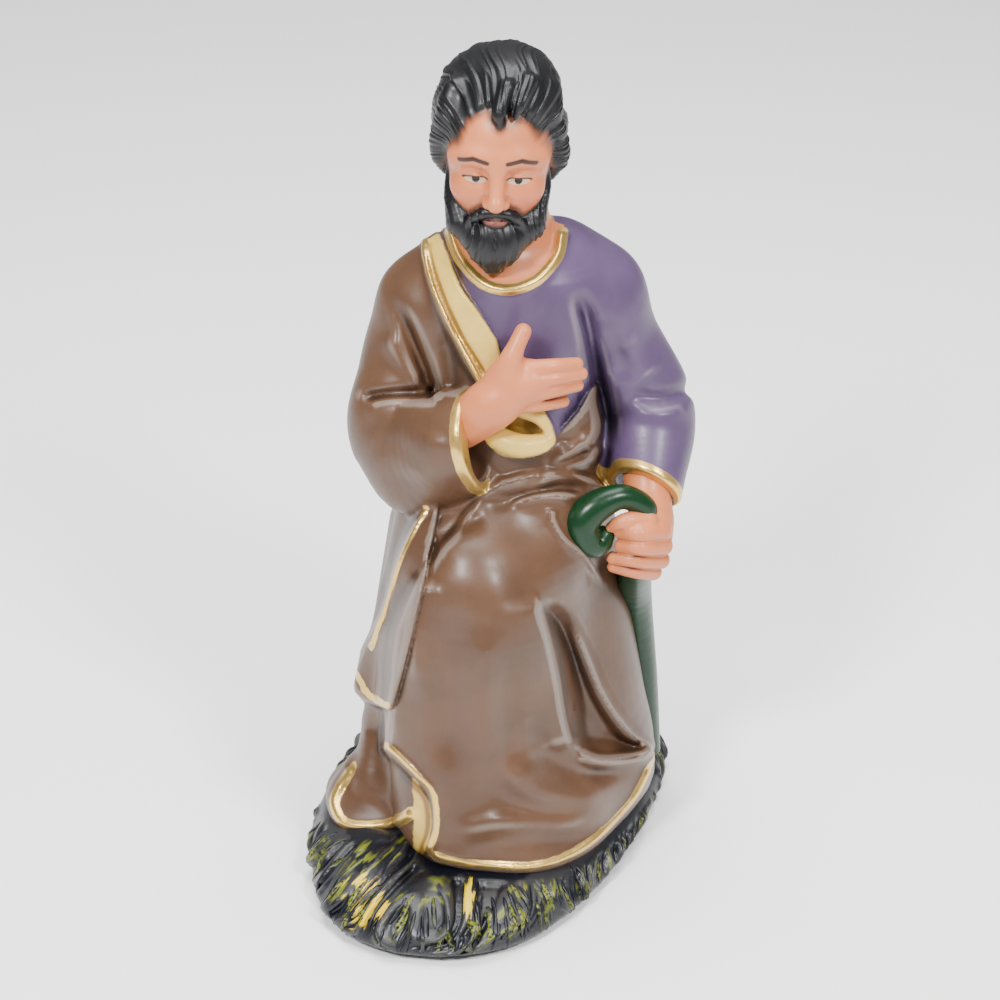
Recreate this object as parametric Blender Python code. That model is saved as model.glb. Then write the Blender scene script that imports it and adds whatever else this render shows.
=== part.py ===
"""A kneeling saint for a nativity scene: a plaster figure with its mound of straw, cast in one piece.

The figure is worked like clay. A field holds, for each point of a fine grid, how far it lies from the
skin of the form so far: masses are melted together, cloth is laid on, folds are pressed in, and the
skin is taken off once at the end. Lengths inside the field are hundredths of the figure's height, so
every share follows HEIGHT. The front faces -Y and +Z is up.
"""

import math

import bpy
import numpy as np
from mathutils import Euler

HEIGHT = 0.42  # metres, from the underside of the mound to the top of the hair
GRID_STEP = HEIGHT / 190  # metres between the points of the grid
MOST_TRIANGLES = 9500

UNITS = 100  # the field counts in hundredths of the height
FAR = 60.0  # hundredths: further off than anything that matters

# The front is drawn as it is seen from a little above, and folds are pressed in along that sight.
LOOK_DOWN = math.radians(28)
EYE_DISTANCE = 320  # hundredths, from the eye to the middle of the figure
SEEN_SCALE = 0.944  # what one hundredth at that distance measures on the drawing
SEEN_MIDDLE = 54.1  # the row of the drawing that holds the middle of the figure
MIDDLE = 50  # hundredths, the height of the middle
PLAN_MIDDLE = (0.96, -2.48)  # hundredths: the middle of the mound in plan, which becomes the origin


# Curves and blends

def smooth_path(points, closed=False, steps=4):
    """More points, on one smooth curve through the given ones."""
    points = np.array(points, float)
    if closed:
        ring = np.vstack([points[-1], points, points[:2]])
    else:
        ring = np.vstack([2 * points[0] - points[1], points, 2 * points[-1] - points[-2]])
    share = np.linspace(0, 1, steps, endpoint=False)[:, None]
    spans = []
    for a, b, c, d in zip(ring, ring[1:], ring[2:], ring[3:]):
        spans.append(0.5 * (2 * b + (c - a) * share + (2 * a - 5 * b + 4 * c - d) * share**2
                            + (3 * b - a - 3 * c + d) * share**3))
    if not closed:
        spans.append(points[-1:])
    return np.vstack(spans)


def melt(a, b, blend):
    """The smaller of two distances, with the corner between them filled over blend."""
    overlap = np.maximum(blend - np.abs(a - b), 0)
    return np.minimum(a, b) - overlap * overlap / (4 * blend)


def ramp(value):
    """0 below 0, 1 above 1, and a soft step between."""
    value = np.clip(value, 0, 1)
    return value * value * (3 - 2 * value)


def drawn(points):
    """Where points stand on the drawing of the front: across, and up."""
    x, y, z = points[:, 0], points[:, 1], points[:, 2] - MIDDLE
    up = z * math.cos(LOOK_DOWN) + y * math.sin(LOOK_DOWN)
    away = EYE_DISTANCE - z * math.sin(LOOK_DOWN) + y * math.cos(LOOK_DOWN)
    nearness = SEEN_SCALE * EYE_DISTANCE / away
    return x * nearness, up * nearness + SEEN_MIDDLE


def to_line(places, line):
    """For places on the drawing: distance to a line, side of it (1 on the left of its run) and share of
    its length."""
    best = np.full(len(places), FAR, np.float32)
    side, share = np.zeros_like(best), np.zeros_like(best)
    for number, (start, end) in enumerate(zip(line, line[1:])):
        along = end - start
        off = places - start
        here = np.clip(off @ along / (along @ along + 1e-9), 0, 1)
        gap = np.linalg.norm(off - here[:, None] * along, axis=1)
        closer = gap < best
        best[closer] = gap[closer]
        side[closer] = np.sign(along[0] * off[closer, 1] - along[1] * off[closer, 0])
        share[closer] = (number + here[closer]) / (len(line) - 1)
    return best, side, share


def to_outline(places, line):
    """Distance of places from a closed line, negative inside it."""
    ring = np.vstack([line, line[:1]])
    within = np.zeros(len(places), bool)
    for start, end in zip(ring, ring[1:]):
        crosses = (start[1] > places[:, 1]) != (end[1] > places[:, 1])
        across = start[0] + (places[:, 1] - start[1]) / (end[1] - start[1] + 1e-12) * (end[0] - start[0])
        within ^= crosses & (places[:, 0] < across)
    gap = to_line(places, ring)[0]
    return np.where(within, -gap, gap)


# Shapes: each gives its lowest corner, its highest corner, and its distance function

def ball(centre, radii, turn=(0, 0, 0)):
    """An egg shape. turn is in degrees."""
    centre, radii = np.array(centre, np.float32), np.array(radii, np.float32)
    spin = np.array(Euler([math.radians(a) for a in turn]).to_matrix(), np.float32)
    reach = radii.max()

    def distance(points):
        inner = (points - centre) @ spin / radii
        size = np.linalg.norm(inner, axis=1) + 1e-6
        return size * (size - 1) / (np.linalg.norm(inner / radii, axis=1) + 1e-6)

    return centre - reach, centre + reach, distance


def tube(path, radii, bent=True):
    """A limb along path, as thick as radii says at each of its points."""
    line = np.column_stack([path, radii if np.ndim(radii) else [radii] * len(path)])
    line = (smooth_path(line) if bent else line).astype(np.float32)
    low = (line[:, :3] - line[:, 3:]).min(axis=0)
    high = (line[:, :3] + line[:, 3:]).max(axis=0)

    def distance(points):
        found = np.full(len(points), FAR, np.float32)
        for start, end in zip(line, line[1:]):
            along = end[:3] - start[:3]
            off = points - start[:3]
            share = np.clip(off @ along / (along @ along + 1e-9), 0, 1)
            gap = np.linalg.norm(off - share[:, None] * along, axis=1)
            found = np.minimum(found, gap - start[3] - share * (end[3] - start[3]))
        return found

    return low, high, distance


def limb(start, end, start_radius, end_radius):
    """A straight limb."""
    return tube([start, end], [start_radius, end_radius], bent=False)


def trunk(sections):
    """A body given by sections: height, middle x and y, then reaches at equal turns from +X by +Y."""
    levels = smooth_path([[level, x, y, *reaches] for level, x, y, reaches in sections])
    fine = smooth_path(levels[:, 3:].T, closed=True, steps=6)
    turns = np.arange(len(fine) + 1) / len(fine) * 2 * math.pi
    rows = np.vstack([fine, fine[:1]]).T
    widest = rows.max()
    middle = levels[:, 1:3].mean(axis=0)
    low = np.array([*(middle - widest - 3), levels[0, 0]], np.float32)
    high = np.array([*(middle + widest + 3), levels[-1, 0]], np.float32)

    def distance(points):
        z = np.clip(points[:, 2], levels[0, 0], levels[-1, 0])
        row = np.interp(z, levels[:, 0], np.arange(len(levels)))
        below = np.minimum(row.astype(int), len(levels) - 2)
        share = row - below
        x = points[:, 0] - np.interp(z, levels[:, 0], levels[:, 1])
        y = points[:, 1] - np.interp(z, levels[:, 0], levels[:, 2])
        column = (np.arctan2(y, x) % (2 * math.pi)) / turns[1]
        left = np.minimum(column.astype(int), len(fine) - 1)
        part = column - left
        lower = rows[below, left] * (1 - part) + rows[below, left + 1] * part
        upper = rows[below + 1, left] * (1 - part) + rows[below + 1, left + 1] * part
        side = (np.hypot(x, y) - lower * (1 - share) - upper * share) * 0.9
        end = np.maximum(levels[0, 0] - points[:, 2], points[:, 2] - levels[-1, 0])
        return -melt(-side, -end, 2.0)

    return low, high, distance


class Clay:
    """Points in order of height, with their distances from the skin so far, negative inside."""

    def __init__(self, points, seen):
        self.points = points
        self.across, self.up = seen
        self.gap = np.full(len(points), FAR, np.float32)

    def near(self, low, high, reach):
        """The numbers of the points in a box, with reach to spare."""
        first, last = np.searchsorted(self.points[:, 2], (low[2] - reach, high[2] + reach))
        some = self.points[first:last]
        within = np.ones(len(some), bool)
        for axis in (0, 1):
            within &= (some[:, axis] > low[axis] - reach) & (some[:, axis] < high[axis] + reach)
        return first + np.flatnonzero(within)

    def seen_near(self, line, reach, back):
        """The numbers and drawn places of the points whose place is near a line, in front of back."""
        low, high = line.min(axis=0) - reach, line.max(axis=0) + reach
        at = np.flatnonzero((self.across > low[0]) & (self.across < high[0]) & (self.up > low[1])
                            & (self.up < high[1]) & (self.points[:, 1] < back + 2)
                            & (np.abs(self.gap) < 8))
        return at, np.column_stack([self.across[at], self.up[at]])

    def add(self, shape, blend=1.0):
        low, high, distance = shape
        at = self.near(low, high, blend + 4)
        self.gap[at] = melt(self.gap[at], distance(self.points[at]), blend)

    def cut(self, shape, blend=0.6):
        low, high, distance = shape
        at = self.near(low, high, blend + 2)
        self.gap[at] = -melt(-self.gap[at], distance(self.points[at]), blend)

    def lift(self, at, height, back):
        """Moves the skin out by height, dying away behind back."""
        self.gap[at] -= height * ramp((back + 2 - self.points[at, 1]) / 2)

    def fold(self, path, width, height, lean=0.0, back=6.0, ends=(0.25, 0.25)):
        """A fold drawn along path: a ridge, or a furrow if height is negative, dying away to its ends.
        lean makes one side steeper: 1 the left of its run, -1 the right."""
        line = smooth_path(path)
        at, places = self.seen_near(line, 3 * width, back)
        gap, side, share = to_line(places, line)
        spread = width * (1 - 0.75 * np.maximum(0, side * lean))
        fade = ramp(share / max(ends[0], 1e-3)) * ramp((1 - share) / max(ends[1], 1e-3))
        self.lift(at, height * np.exp(-(gap / spread) ** 2) * fade, back)

    def layer(self, outline, thickness, back=6.0, edge=0.6):
        """Cloth laid over what a closed outline covers on the drawing."""
        line = smooth_path(outline, closed=True)
        at, places = self.seen_near(line, edge, back)
        self.lift(at, thickness * ramp(0.5 - to_outline(places, line) / edge), back)


def model_apart(clay, middle, turn, reach, work):
    """Does work on clay of its own, in a frame moved to middle and turned by turn, and melts it in."""
    middle = np.array(middle, np.float32)
    at = clay.near(middle, middle, reach)
    spin = np.array(Euler([math.radians(a) for a in turn]).to_matrix(), np.float32)
    local = (clay.points[at] - middle) @ spin
    order = np.argsort(local[:, 2])
    at, local = at[order], local[order]
    apart = Clay(local, drawn(local))
    work(apart)
    clay.gap[at] = melt(clay.gap[at], apart.gap, 0.8)


# From the field to the skin

LOW = np.array((-26, -33, -1.2), np.float32)
HIGH = np.array((27, 29, 103), np.float32)


def grid_points(step):
    """All points of the grid in order of height, and its shape."""
    counts = np.ceil((HIGH - LOW) / step).astype(int) + 1
    z, y, x = np.meshgrid(*(LOW[axis] + step * np.arange(counts[axis], dtype=np.float32)
                            for axis in (2, 1, 0)), indexing="ij")
    return np.column_stack([x.ravel(), y.ravel(), z.ravel()]), counts[::-1]


def soften(gap):
    """Evens out what is finer than the grid can carry."""
    for axis in range(3):
        before = np.roll(gap, 1, axis)
        after = np.roll(gap, -1, axis)
        gap = (before + 2 * gap + after) / 4
    return gap


def settle(gap):
    """Turns over single points of the grid until the skin touches itself at no edge and no corner."""
    for _ in range(12):
        inside = gap < 0
        bad = []
        for axis in range(3):
            a, b = [other for other in range(3) if other != axis]
            spans = [slice(0, size) for size in gap.shape]
            squares = []
            for da in (0, 1):
                for db in (0, 1):
                    spans[a] = slice(da, gap.shape[a] - 1 + da)
                    spans[b] = slice(db, gap.shape[b] - 1 + db)
                    squares.append(inside[tuple(spans)])
            crossed = ((squares[0] == squares[3]) & (squares[1] == squares[2])
                       & (squares[0] != squares[1]))
            for at in np.argwhere(crossed):
                bad.append([at + np.insert([da, db], axis, 0) for da in (0, 1) for db in (0, 1)])
        cube = [slice(k, size - 1 + k) for size in gap.shape for k in (0, 1)]
        parts = {(a, b, c): inside[cube[a], cube[2 + b], cube[4 + c]]
                 for a in (0, 1) for b in (0, 1) for c in (0, 1)}
        count = sum(part.astype(np.int8) for part in parts.values())
        for (a, b, c), part in parts.items():
            far = parts[1 - a, 1 - b, 1 - c]
            crossed = ((count == 2) & part & far) | ((count == 6) & ~part & ~far)
            for at in np.argwhere(crossed):
                bad.append([at + (a, b, c), at + (1 - a, 1 - b, 1 - c)])
        if not bad:
            break
        for corners in bad:
            least = min(corners, key=lambda corner: abs(gap[tuple(corner)]))
            gap[tuple(least)] = -0.02 * np.sign(gap[tuple(least)])
    return gap


def skin(gap, step):
    """Corners and four-sided faces of the surface where gap, a grid in order z, y, x, passes 0."""
    inside = settle(gap) < 0
    corners = [(slice(k, size - 1 + k) for k, size in zip((a, b, c), gap.shape))
               for a in (0, 1) for b in (0, 1) for c in (0, 1)]
    corners = [tuple(corner) for corner in corners]
    count = sum(inside[corner].astype(np.int8) for corner in corners)
    cells = (count > 0) & (count < 8)
    number = np.full(cells.shape, -1)
    number[cells] = np.arange(np.count_nonzero(cells))
    base = np.argwhere(cells)
    total = np.zeros((len(base), 3))
    crossings = np.zeros(len(base))
    for axis in range(3):
        for first in (0, 1):
            for second in (0, 1):
                start = np.insert([first, second], axis, 0)
                end = np.insert([first, second], axis, 1)
                low, high = (gap[tuple((base + corner).T)] for corner in (start, end))
                cut = (low < 0) != (high < 0)
                share = np.where(cut, low / np.where(cut, low - high, 1), 0)
                place = start + share[:, None] * (end - start)
                total += place * cut[:, None]
                crossings += cut
    places = (base + total / crossings[:, None])[:, ::-1] * step + LOW
    faces = []
    for axis in range(3):
        a, b = [other for other in range(3) if other != axis]
        low = [slice(1, size - 1) for size in gap.shape]
        low[axis] = slice(0, gap.shape[axis] - 1)
        high = list(low)
        high[axis] = slice(1, gap.shape[axis])
        first, last = inside[tuple(low)], inside[tuple(high)]
        at = np.argwhere(first != last)
        outward = first[first != last]
        for other in (a, b):
            at[:, other] += 1
        ring = []
        for da, db in ((-1, -1), (0, -1), (0, 0), (-1, 0)):
            cell = at.copy()
            cell[:, a] += da
            cell[:, b] += db
            ring.append(number[tuple(cell.T)])
        quads = np.column_stack(ring)
        turned = ~outward if axis == 1 else outward
        quads[turned] = quads[turned][:, ::-1]
        faces.append(quads)
    return places, np.vstack(faces)


def outer_shell(places, faces):
    """Only the largest connected piece, without crumbs or the inner walls of closed hollows."""
    label = np.arange(len(places))
    while True:
        least = label[faces].min(axis=1)
        newer = label.copy()
        for corner in range(faces.shape[1]):
            np.minimum.at(newer, faces[:, corner], least)
        newer = newer[newer]
        if (newer == label).all():
            break
        label = newer
    largest = np.bincount(label).argmax()
    kept = label == largest
    number = np.cumsum(kept) - 1
    return places[kept], number[faces[kept[faces[:, 0]]]]


# The masses

BODY = (  # height, middle x, middle y, reaches each 30 degrees from +X by the back round to the front
    (3, 1, -1, (16.6, 18.6, 19.5, 20, 18, 16.0, 16.0, 14.0, 15.4, 18.4, 17.0, 15.0)),
    (7, 1, -1, (17.4, 19.0, 19.5, 20, 18, 16.0, 16.2, 14.5, 16.2, 19.4, 18.0, 15.8)),
    (14, 1, -1, (16.8, 17.4, 17.0, 17, 16, 15.5, 15.4, 14.3, 16.0, 18.2, 16.6, 15.2)),
    (22, 1, -1, (15.6, 15.8, 14.5, 14, 14, 14.5, 15.2, 15.0, 16.0, 17.4, 14.8, 14.0)),
    (30, 1, -1, (13.8, 13.8, 12.5, 12, 12.5, 14.0, 14.3, 14.8, 16.6, 17.4, 13.8, 12.4)),
    (37, 1, -1, (11.8, 12.0, 11.5, 11, 12, 13.0, 13.2, 14.0, 17.0, 17.6, 13.4, 11.4)),
    (43, 1.2, 0, (10.8, 11.0, 10.8, 10.5, 11, 12.0, 12.2, 12.6, 14.8, 15.2, 13.8, 12.0)),
    (49, 1.6, 1, (10.4, 10.6, 10.2, 10, 10.4, 11.0, 11.0, 11.0, 11.4, 11.6, 12.0, 11.2)),
    (56, 2, 1, (10.0, 10.4, 9.6, 9.2, 9.6, 10.4, 10.6, 10.4, 10.2, 10.2, 10.4, 10.2)),
    (64, 2, 1, (10.2, 10.4, 9.4, 8.8, 9.4, 10.4, 10.6, 10.2, 9.6, 9.4, 9.8, 10.0)),
    (70, 2, 1, (11.6, 10.6, 8.8, 8.2, 8.8, 10.2, 10.6, 9.8, 8.8, 8.6, 9.0, 10.6)),
    (74.5, 2, 1, (10.6, 8.8, 7.0, 6.4, 7.0, 8.4, 9.0, 8.4, 8.0, 8.0, 8.2, 9.8)),
    (78, 2, 1, (7.6, 6.2, 5.2, 4.8, 5.0, 5.4, 5.8, 5.6, 5.4, 5.4, 5.6, 6.4)),
)
MOUND_REACHES = (20.2, 25.2, 26.0, 25.0, 24.0, 20.6, 20.8, 25.0, 31.2, 29.2, 22.4, 19.2)
MOUND_LEVELS = ((0, -1.4), (1.5, 0), (3.4, -0.7), (5.2, -2.8), (6.8, -6.5))  # height, change of reach


def model_robes(clay):
    clay.add(trunk([(level, 0, 0, [reach + change for reach in MOUND_REACHES])
                    for level, change in MOUND_LEVELS]), 0.8)
    clay.add(trunk(BODY), 1.0)
    # the raised knee and the cloth down its shin
    clay.add(tube([(-2.3, -9, 41.6), (-1.8, -12.2, 39.2), (-4.4, -12, 24.5), (-3.3, -13, 11.1)],
                  [6.8, 6.9, 7.4, 8.0]), 3.0)
    # the kneeling leg and the foot behind it
    clay.add(tube([(7.4, 2, 40), (8.4, -1, 24), (9.2, -2, 12)], [6.2, 7.0, 8.2]), 3.0)
    clay.add(tube([(10, 0, 11), (8, 10, 10), (6, 18, 9)], [7.0, 6.0, 4.6]), 4.0)
    # the mantle that falls down the back and the side
    clay.add(tube([(-8.2, 4, 39.5), (-9.9, 4, 28.5), (-10.8, 2, 22.6), (-11.2, 0, 13.8)],
                  [3.2, 3.2, 3.0, 3.2]), 3.0)
    clay.add(tube([(-9.2, -3, 32.7), (-11.6, -4.5, 26.0), (-13.5, -5.5, 22.3)], [3.4, 2.4, 1.6]), 2.0)
    # the robe that spreads over the foot
    clay.add(tube([(-11.0, -3, 13.6), (-12.6, -6, 8.4), (-14.5, -7.5, 5.1)], [4.0, 4.4, 3.2]), 3.0)
    clay.add(tube([(-14.9, -3, 5.6), (-16.7, -6.5, 4.8), (-14.2, -9, 5.1)], [2.6, 1.8, 1.8]), 1.6)


def model_arms(clay):
    # the arm that hangs and holds the crook
    clay.add(tube([(11.4, 3, 68.3), (14.4, 3.4, 62.9), (17.7, 3, 56.7), (18.5, 1, 53.4),
                   (18.2, -3.2, 49.9)],
                  [6.0, 5.4, 5.4, 5.2, 4.2]), 1.2)
    clay.add(tube([(7.9, 2, 71.0), (11.3, 2.5, 68.7)], [6.2, 5.6]), 3.0)
    clay.add(limb((12.3, 3, 56.0), (13.5, 1, 47.9), 3.2, 3.0), 1.5)
    # the arm across the breast
    clay.add(tube([(-3.7, 2, 69.7), (-6.3, 2, 68.2)], [6.2, 6.0]), 3.0)
    clay.add(tube([(-6.8, 2, 68.6), (-8.7, 1.5, 62.9), (-9.7, -0.6, 56.5)], [5.9, 5.8, 6.2]), 1.6)
    clay.add(tube([(-9.8, -1.5, 56.7), (-7.7, -4.4, 54.7), (-4.3, -8.4, 56.7), (-1.9, -10.2, 58.2)],
                  [6.0, 6.2, 5.6, 5.0]), 1.6)
    clay.add(tube([(-10.3, -2, 53.4), (-8.0, -5, 50.1), (-2.2, -9.5, 53.8)], [5.4, 4.5, 2.4]), 2.2)
    clay.cut(ball((0.4, -12.2, 60.2), (2.2, 2.2, 4.0), (0, 0, 0)), 0.8)
    clay.cut(ball((18.1, -5, 48.3), (3.2, 3.0, 1.8), (30, 0, 0)), 0.8)


def model_neck(clay):
    clay.add(tube([(7.9, 3, 73.9), (11.5, 3, 70.6)], [4.2, 4.6]), 3.0)
    clay.add(tube([(-4.5, 2, 73.1), (-6.8, 2, 69.4)], [3.6, 4.0]), 3.0)
    clay.add(tube([(2, 1.5, 73), (1.6, -0.2, 84)], [5.9, 5.2]), 1.4)


def model_head(clay):
    """In the head's own frame: the eyes at height 0, the face towards -y."""
    clay.add(ball((0, 0.8, 2.4), (6.2, 7.6, 6.4)), 1.0)
    clay.add(ball((0, -1.8, -2.4), (5.0, 4.8, 6.8)), 2.2)
    for side in (-1, 1):
        clay.add(ball((side * 3.0, -4.3, -1.9), (1.9, 1.6, 1.5)), 1.6)
        clay.add(ball((side * 6.0, 0.9, -0.8), (0.9, 1.5, 2.1)), 0.6)
    clay.add(tube([(-4.4, -4.4, 1.2), (-2.4, -5.9, 1.7), (0, -6.2, 1.3), (2.4, -5.9, 1.7),
                   (4.4, -4.4, 1.2)],
                  0.8), 1.2)
    for side in (-1, 1):
        clay.cut(ball((side * 2.35, -6.9, 0.0), (1.55, 1.2, 0.9)), 1.0)
        clay.add(ball((side * 2.3, -4.9, -0.1), (1.25, 1.15, 0.9)), 0.3)
        clay.add(tube([(side * 1.1, -5.7, 0.1), (side * 2.3, -6.15, 0.55), (side * 3.6, -5.1, 0.1)],
                      0.26), 0.4)
    clay.add(limb((0, -6.1, 1.0), (0, -7.9, -2.3), 0.7, 0.95), 0.9)
    clay.add(ball((0, -7.8, -2.6), (0.95, 0.95, 0.8)), 0.5)
    for side in (-1, 1):
        clay.add(ball((side * 0.95, -7.0, -2.8), (0.6, 0.8, 0.6)), 0.4)
    # the beard, in two tufts, and the moustache
    clay.add(ball((0, -4.3, -7.6), (4.2, 3.5, 3.6)), 1.2)
    for side in (-1, 1):
        clay.add(limb((side * 1.2, -6.3, -8.6), (side * 1.1, -6.4, -11.2), 2.1, 1.0), 0.7)
        clay.add(tube([(side * 5.5, 0.2, -1.2), (side * 5.1, -2.0, -4.6), (side * 3.6, -4.4, -7.6)],
                      [1.0, 1.3, 1.8]), 1.2)
    clay.add(ball((0, -6.6, -5.1), (1.2, 0.9, 0.5)), 0.4)
    for side in (-1, 1):
        clay.add(tube([(side * 0.3, -7.0, -3.9), (side * 1.7, -6.8, -4.3), (side * 3.0, -5.9, -5.8)],
                      [0.6, 0.7, 0.4]), 0.4)
    # the hair, swept back from the brow and curling over the ears
    clay.add(ball((-0.6, 3.3, 3.6), (6.9, 8.8, 6.6)), 0.6)
    clay.add(ball((1.3, 1.8, 6.2), (5.2, 6.8, 4.8)), 1.5)
    for side in (-1, 1):
        clay.add(tube([(side * 5.0, -0.6, 7.4), (side * 5.6, -1.6, 4.6), (side * 6.2, 0.2, 1.6),
                       (side * 6.1, 1.2, -0.6), (side * 5.4, 0.9, -2.2)], [1.2, 1.0, 1.1, 1.2, 0.8]),
                       1.2)
        clay.add(tube([(side * 4.4, 4.5, 1.0), (side * 3.0, 5.0, -3.5)], [3.0, 2.4]), 1.5)
    clay.add(tube([(0, 6.0, 0), (0, 5.4, -4.5)], [4.2, 3.6]), 1.5)
    for turn in range(-4, 5):
        lean = turn * 0.95
        clay.add(tube([(lean * 1.0, -5.2 + abs(turn) * 0.35, 6.9 - abs(turn) * 0.2),
                       (lean * 1.3, -3.4 + abs(turn) * 0.2, 9.2 - abs(turn) * 0.34),
                       (lean * 1.5, 0.5, 10.5 - abs(turn) * 0.5),
                       (lean * 1.4, 5.0, 9.9 - abs(turn) * 0.5)], [0.5, 0.9, 0.8, 0.5]), 0.5)
    clay.add(tube([(-0.7, -6.0, 5.7), (-0.5, -5.6, 7.2), (0.4, -3.4, 9.4)], [0.45, 0.9, 0.9]), 0.5)


HEAD_MIDDLE = (1.0, -1.5, 88.7)
HEAD_TURN = (6, 2, -2)  # degrees: bowed, leaning and turned a little


def model_hands(clay):
    # the hand laid flat on the breast
    clay.add(tube([(-2.4, -10.4, 59.8), (0.2, -11.4, 61.9)], [2.7, 2.5]), 0.8)
    clay.add(ball((3.0, -10.8, 64.9), (4.1, 1.9, 3.1), (0, 14, 0)), 1.6)
    clay.add(tube([(1.6, -11.4, 66.1), (2.6, -11.4, 68.6), (3.6, -10.4, 70.9)], [1.5, 1.15, 0.85]), 1.2)
    for start, end, size in (((4.4, -10.9, 67.4), (10.1, -9.4, 67.1), 0.95),
                             ((4.4, -11.1, 66.1), (10.2, -9.4, 65.5), 0.95),
                             ((4.4, -11.1, 64.5), (9.7, -9.5, 63.6), 0.95),
                             ((4.2, -10.9, 62.8), (8.3, -9.7, 61.7), 0.85)):
        clay.add(limb(start, end, size + 0.05, size - 0.15), 0.35)
    # the fist that holds the crook
    clay.add(tube([(18.1, -4.5, 49.0), (19.3, -5.6, 45.7)], [2.7, 2.3]), 0.8)
    clay.add(ball((17.7, -7.4, 41.7), (3.0, 2.2, 3.2), (0, -8, 0)), 1.2)
    for tip, bend, knuckle, size in (((14.3, -9, 45.5), (16.8, -10, 45.7), (19.7, -7.4, 44.2), 1.0),
                                     ((15.3, -9.2, 43.3), (17.2, -10, 43.7), (19.8, -7.4, 42.2), 0.95),
                                     ((15.2, -9, 41.3), (17.1, -9.8, 41.8), (19.5, -7.4, 40.5), 0.9),
                                     ((14.2, -8.6, 40.3), (16.5, -9.4, 40.0), (18.8, -7.4, 39.1),
                                      0.85)):
        clay.add(tube([tip, bend, knuckle], [size - 0.15, size, size + 0.2]), 0.3)
    clay.add(limb((13.9, -8.6, 46.1), (15.0, -8.8, 45.7), 0.6, 0.8), 0.4)


def model_crook(clay):
    clay.add(tube([(19.6, 7, 5.0), (18.6, 4.6, 16.7), (17.2, 1, 30.3), (16.9, -5.5, 39.6),
                   (17.7, -7.4, 46.2), (17.1, -8, 48.3),
                   (14.8, -8.6, 49.6), (11.9, -9.2, 48.6), (10.3, -9.6, 46.6), (11.2, -9.8, 44.5),
                   (12.5, -10, 44.4),
                   (13.0, -10, 45.6)], [1.8, 2.0, 2.15, 1.9, 1.5, 1.4, 1.45, 1.9, 2.0, 1.7, 1.3, 1.1]),
                   0.5)


def fold_robes(clay):
    # the lapel of the lining, its roll under the hand, and the mantle's edge on the breast
    clay.layer([(-5.8, 79.6), (-3.8, 76.3), (-1.6, 70.8), (0.9, 65.9), (3.3, 60.4), (1.1, 57.2),
                (-1.3, 62.6), (-4.2, 68.1), (-6.6, 73.6),
                (-7.5, 77.9)], 0.9)
    clay.add(tube([(0.2, -9.5, 61.7), (2.8, -10.4, 59.0), (6.1, -10.2, 58.1)], [1.6, 1.9, 1.3]), 1.0)
    # the mantle's bunched cloth across the waist
    clay.layer([(1.1, 51.7), (3.3, 54.4), (6.3, 55.7), (9.3, 58.5), (11.8, 62.1), (13.6, 62.8),
                (15.5, 60.4), (13.3, 56.1), (12.0, 51.7),
                (7.7, 49.0), (3.3, 49.0)], 1.0, back=4)
    clay.fold([(-1.1, 50.4), (4.4, 51.3), (9.3, 53.7), (14.2, 59.3)], 1.4, 1.0, lean=-0.4)
    clay.fold([(0.5, 49.0), (6.0, 49.9), (10.9, 49.7)], 1.0, 0.6, lean=-0.5)
    clay.fold([(2.7, 52.8), (7.7, 55.2), (12.7, 60.4)], 1.1, 0.6)
    clay.fold([(1.6, 51.9), (6.6, 53.7), (12.5, 58.3)], 0.7, -0.45)
    clay.fold([(2.2, 49.5), (7.1, 50.9), (11.8, 52.8)], 0.8, -0.5)
    # the mantle's front over the knee and the shin, with its corner, and the fall at the side
    clay.layer([(-5.5, 48.2), (-8.2, 41.9), (-10.1, 34.2), (-11.4, 27.7), (-11.7, 22.7), (-9.8, 20.2),
                (-7.2, 18.0), (-6.1, 16.7), (-5.9, 13.4),
                (-6.2, 10.6), (-2.2, 9.4), (4.4, 8.9), (10.9, 11.3), (16.4, 16.7), (23.0, 23.3),
                (23.0, 43.0), (12.0, 51.7), (1.1, 51.7)],
               0.9, edge=0.5)
    clay.layer([(-5.5, 49.5), (-9.8, 43.0), (-13.1, 36.4), (-15.8, 29.4), (-11.5, 26.9), (-10.1, 28.7),
                (-7.7, 38.6)], 0.9, edge=0.5)
    clay.fold([(-11.6, 23.1), (-9.6, 20.2), (-7.2, 18.0), (-6.1, 16.3), (-6.2, 11.0)], 0.6, 0.7,
              ends=(0.05, 0.05))
    clay.fold([(-6.1, 10.4), (-2.2, 9.5), (4.4, 9.1), (10.9, 11.5), (14.8, 15.1), (18.1, 20.9)], 0.7,
              0.7, ends=(0.05, 0.05))
    # the folds that run down from the lap
    clay.fold([(3.5, 40.8), (5.7, 33.1), (7.7, 26.0), (9.0, 20.0)], 2.6, -1.7)
    clay.fold([(5.5, 43.0), (8.7, 35.3), (10.9, 27.7)], 1.6, 0.8)
    clay.fold([(10.3, 36.4), (12.0, 28.7), (14.0, 22.4)], 1.5, -1.7, back=8)
    clay.fold([(12.0, 43.0), (13.8, 36.4), (15.1, 28.7), (16.6, 23.1)], 1.2, 1.0, back=8)
    clay.fold([(4.9, 23.3), (9.0, 17.0), (14.4, 18.3)], 1.3, 1.3, lean=0.5)
    clay.fold([(0.9, 19.5), (5.5, 14.5), (12.2, 15.4)], 1.3, 1.2, lean=0.4)
    clay.fold([(-4.2, 11.0), (1.6, 12.9), (12.0, 14.8)], 1.2, 0.8)
    clay.fold([(6.0, 21.1), (10.4, 15.4), (15.3, 17.8)], 1.0, -0.9)
    clay.fold([(-6.6, 47.3), (-8.5, 40.8), (-11.6, 33.7)], 1.2, 0.9)
    clay.fold([(-5.5, 43.0), (-7.7, 36.4), (-8.5, 27.7), (-7.7, 18.9)], 1.5, -0.9)
    clay.fold([(-9.0, 36.4), (-10.1, 29.8), (-10.9, 23.5)], 1.2, 1.0)


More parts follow.
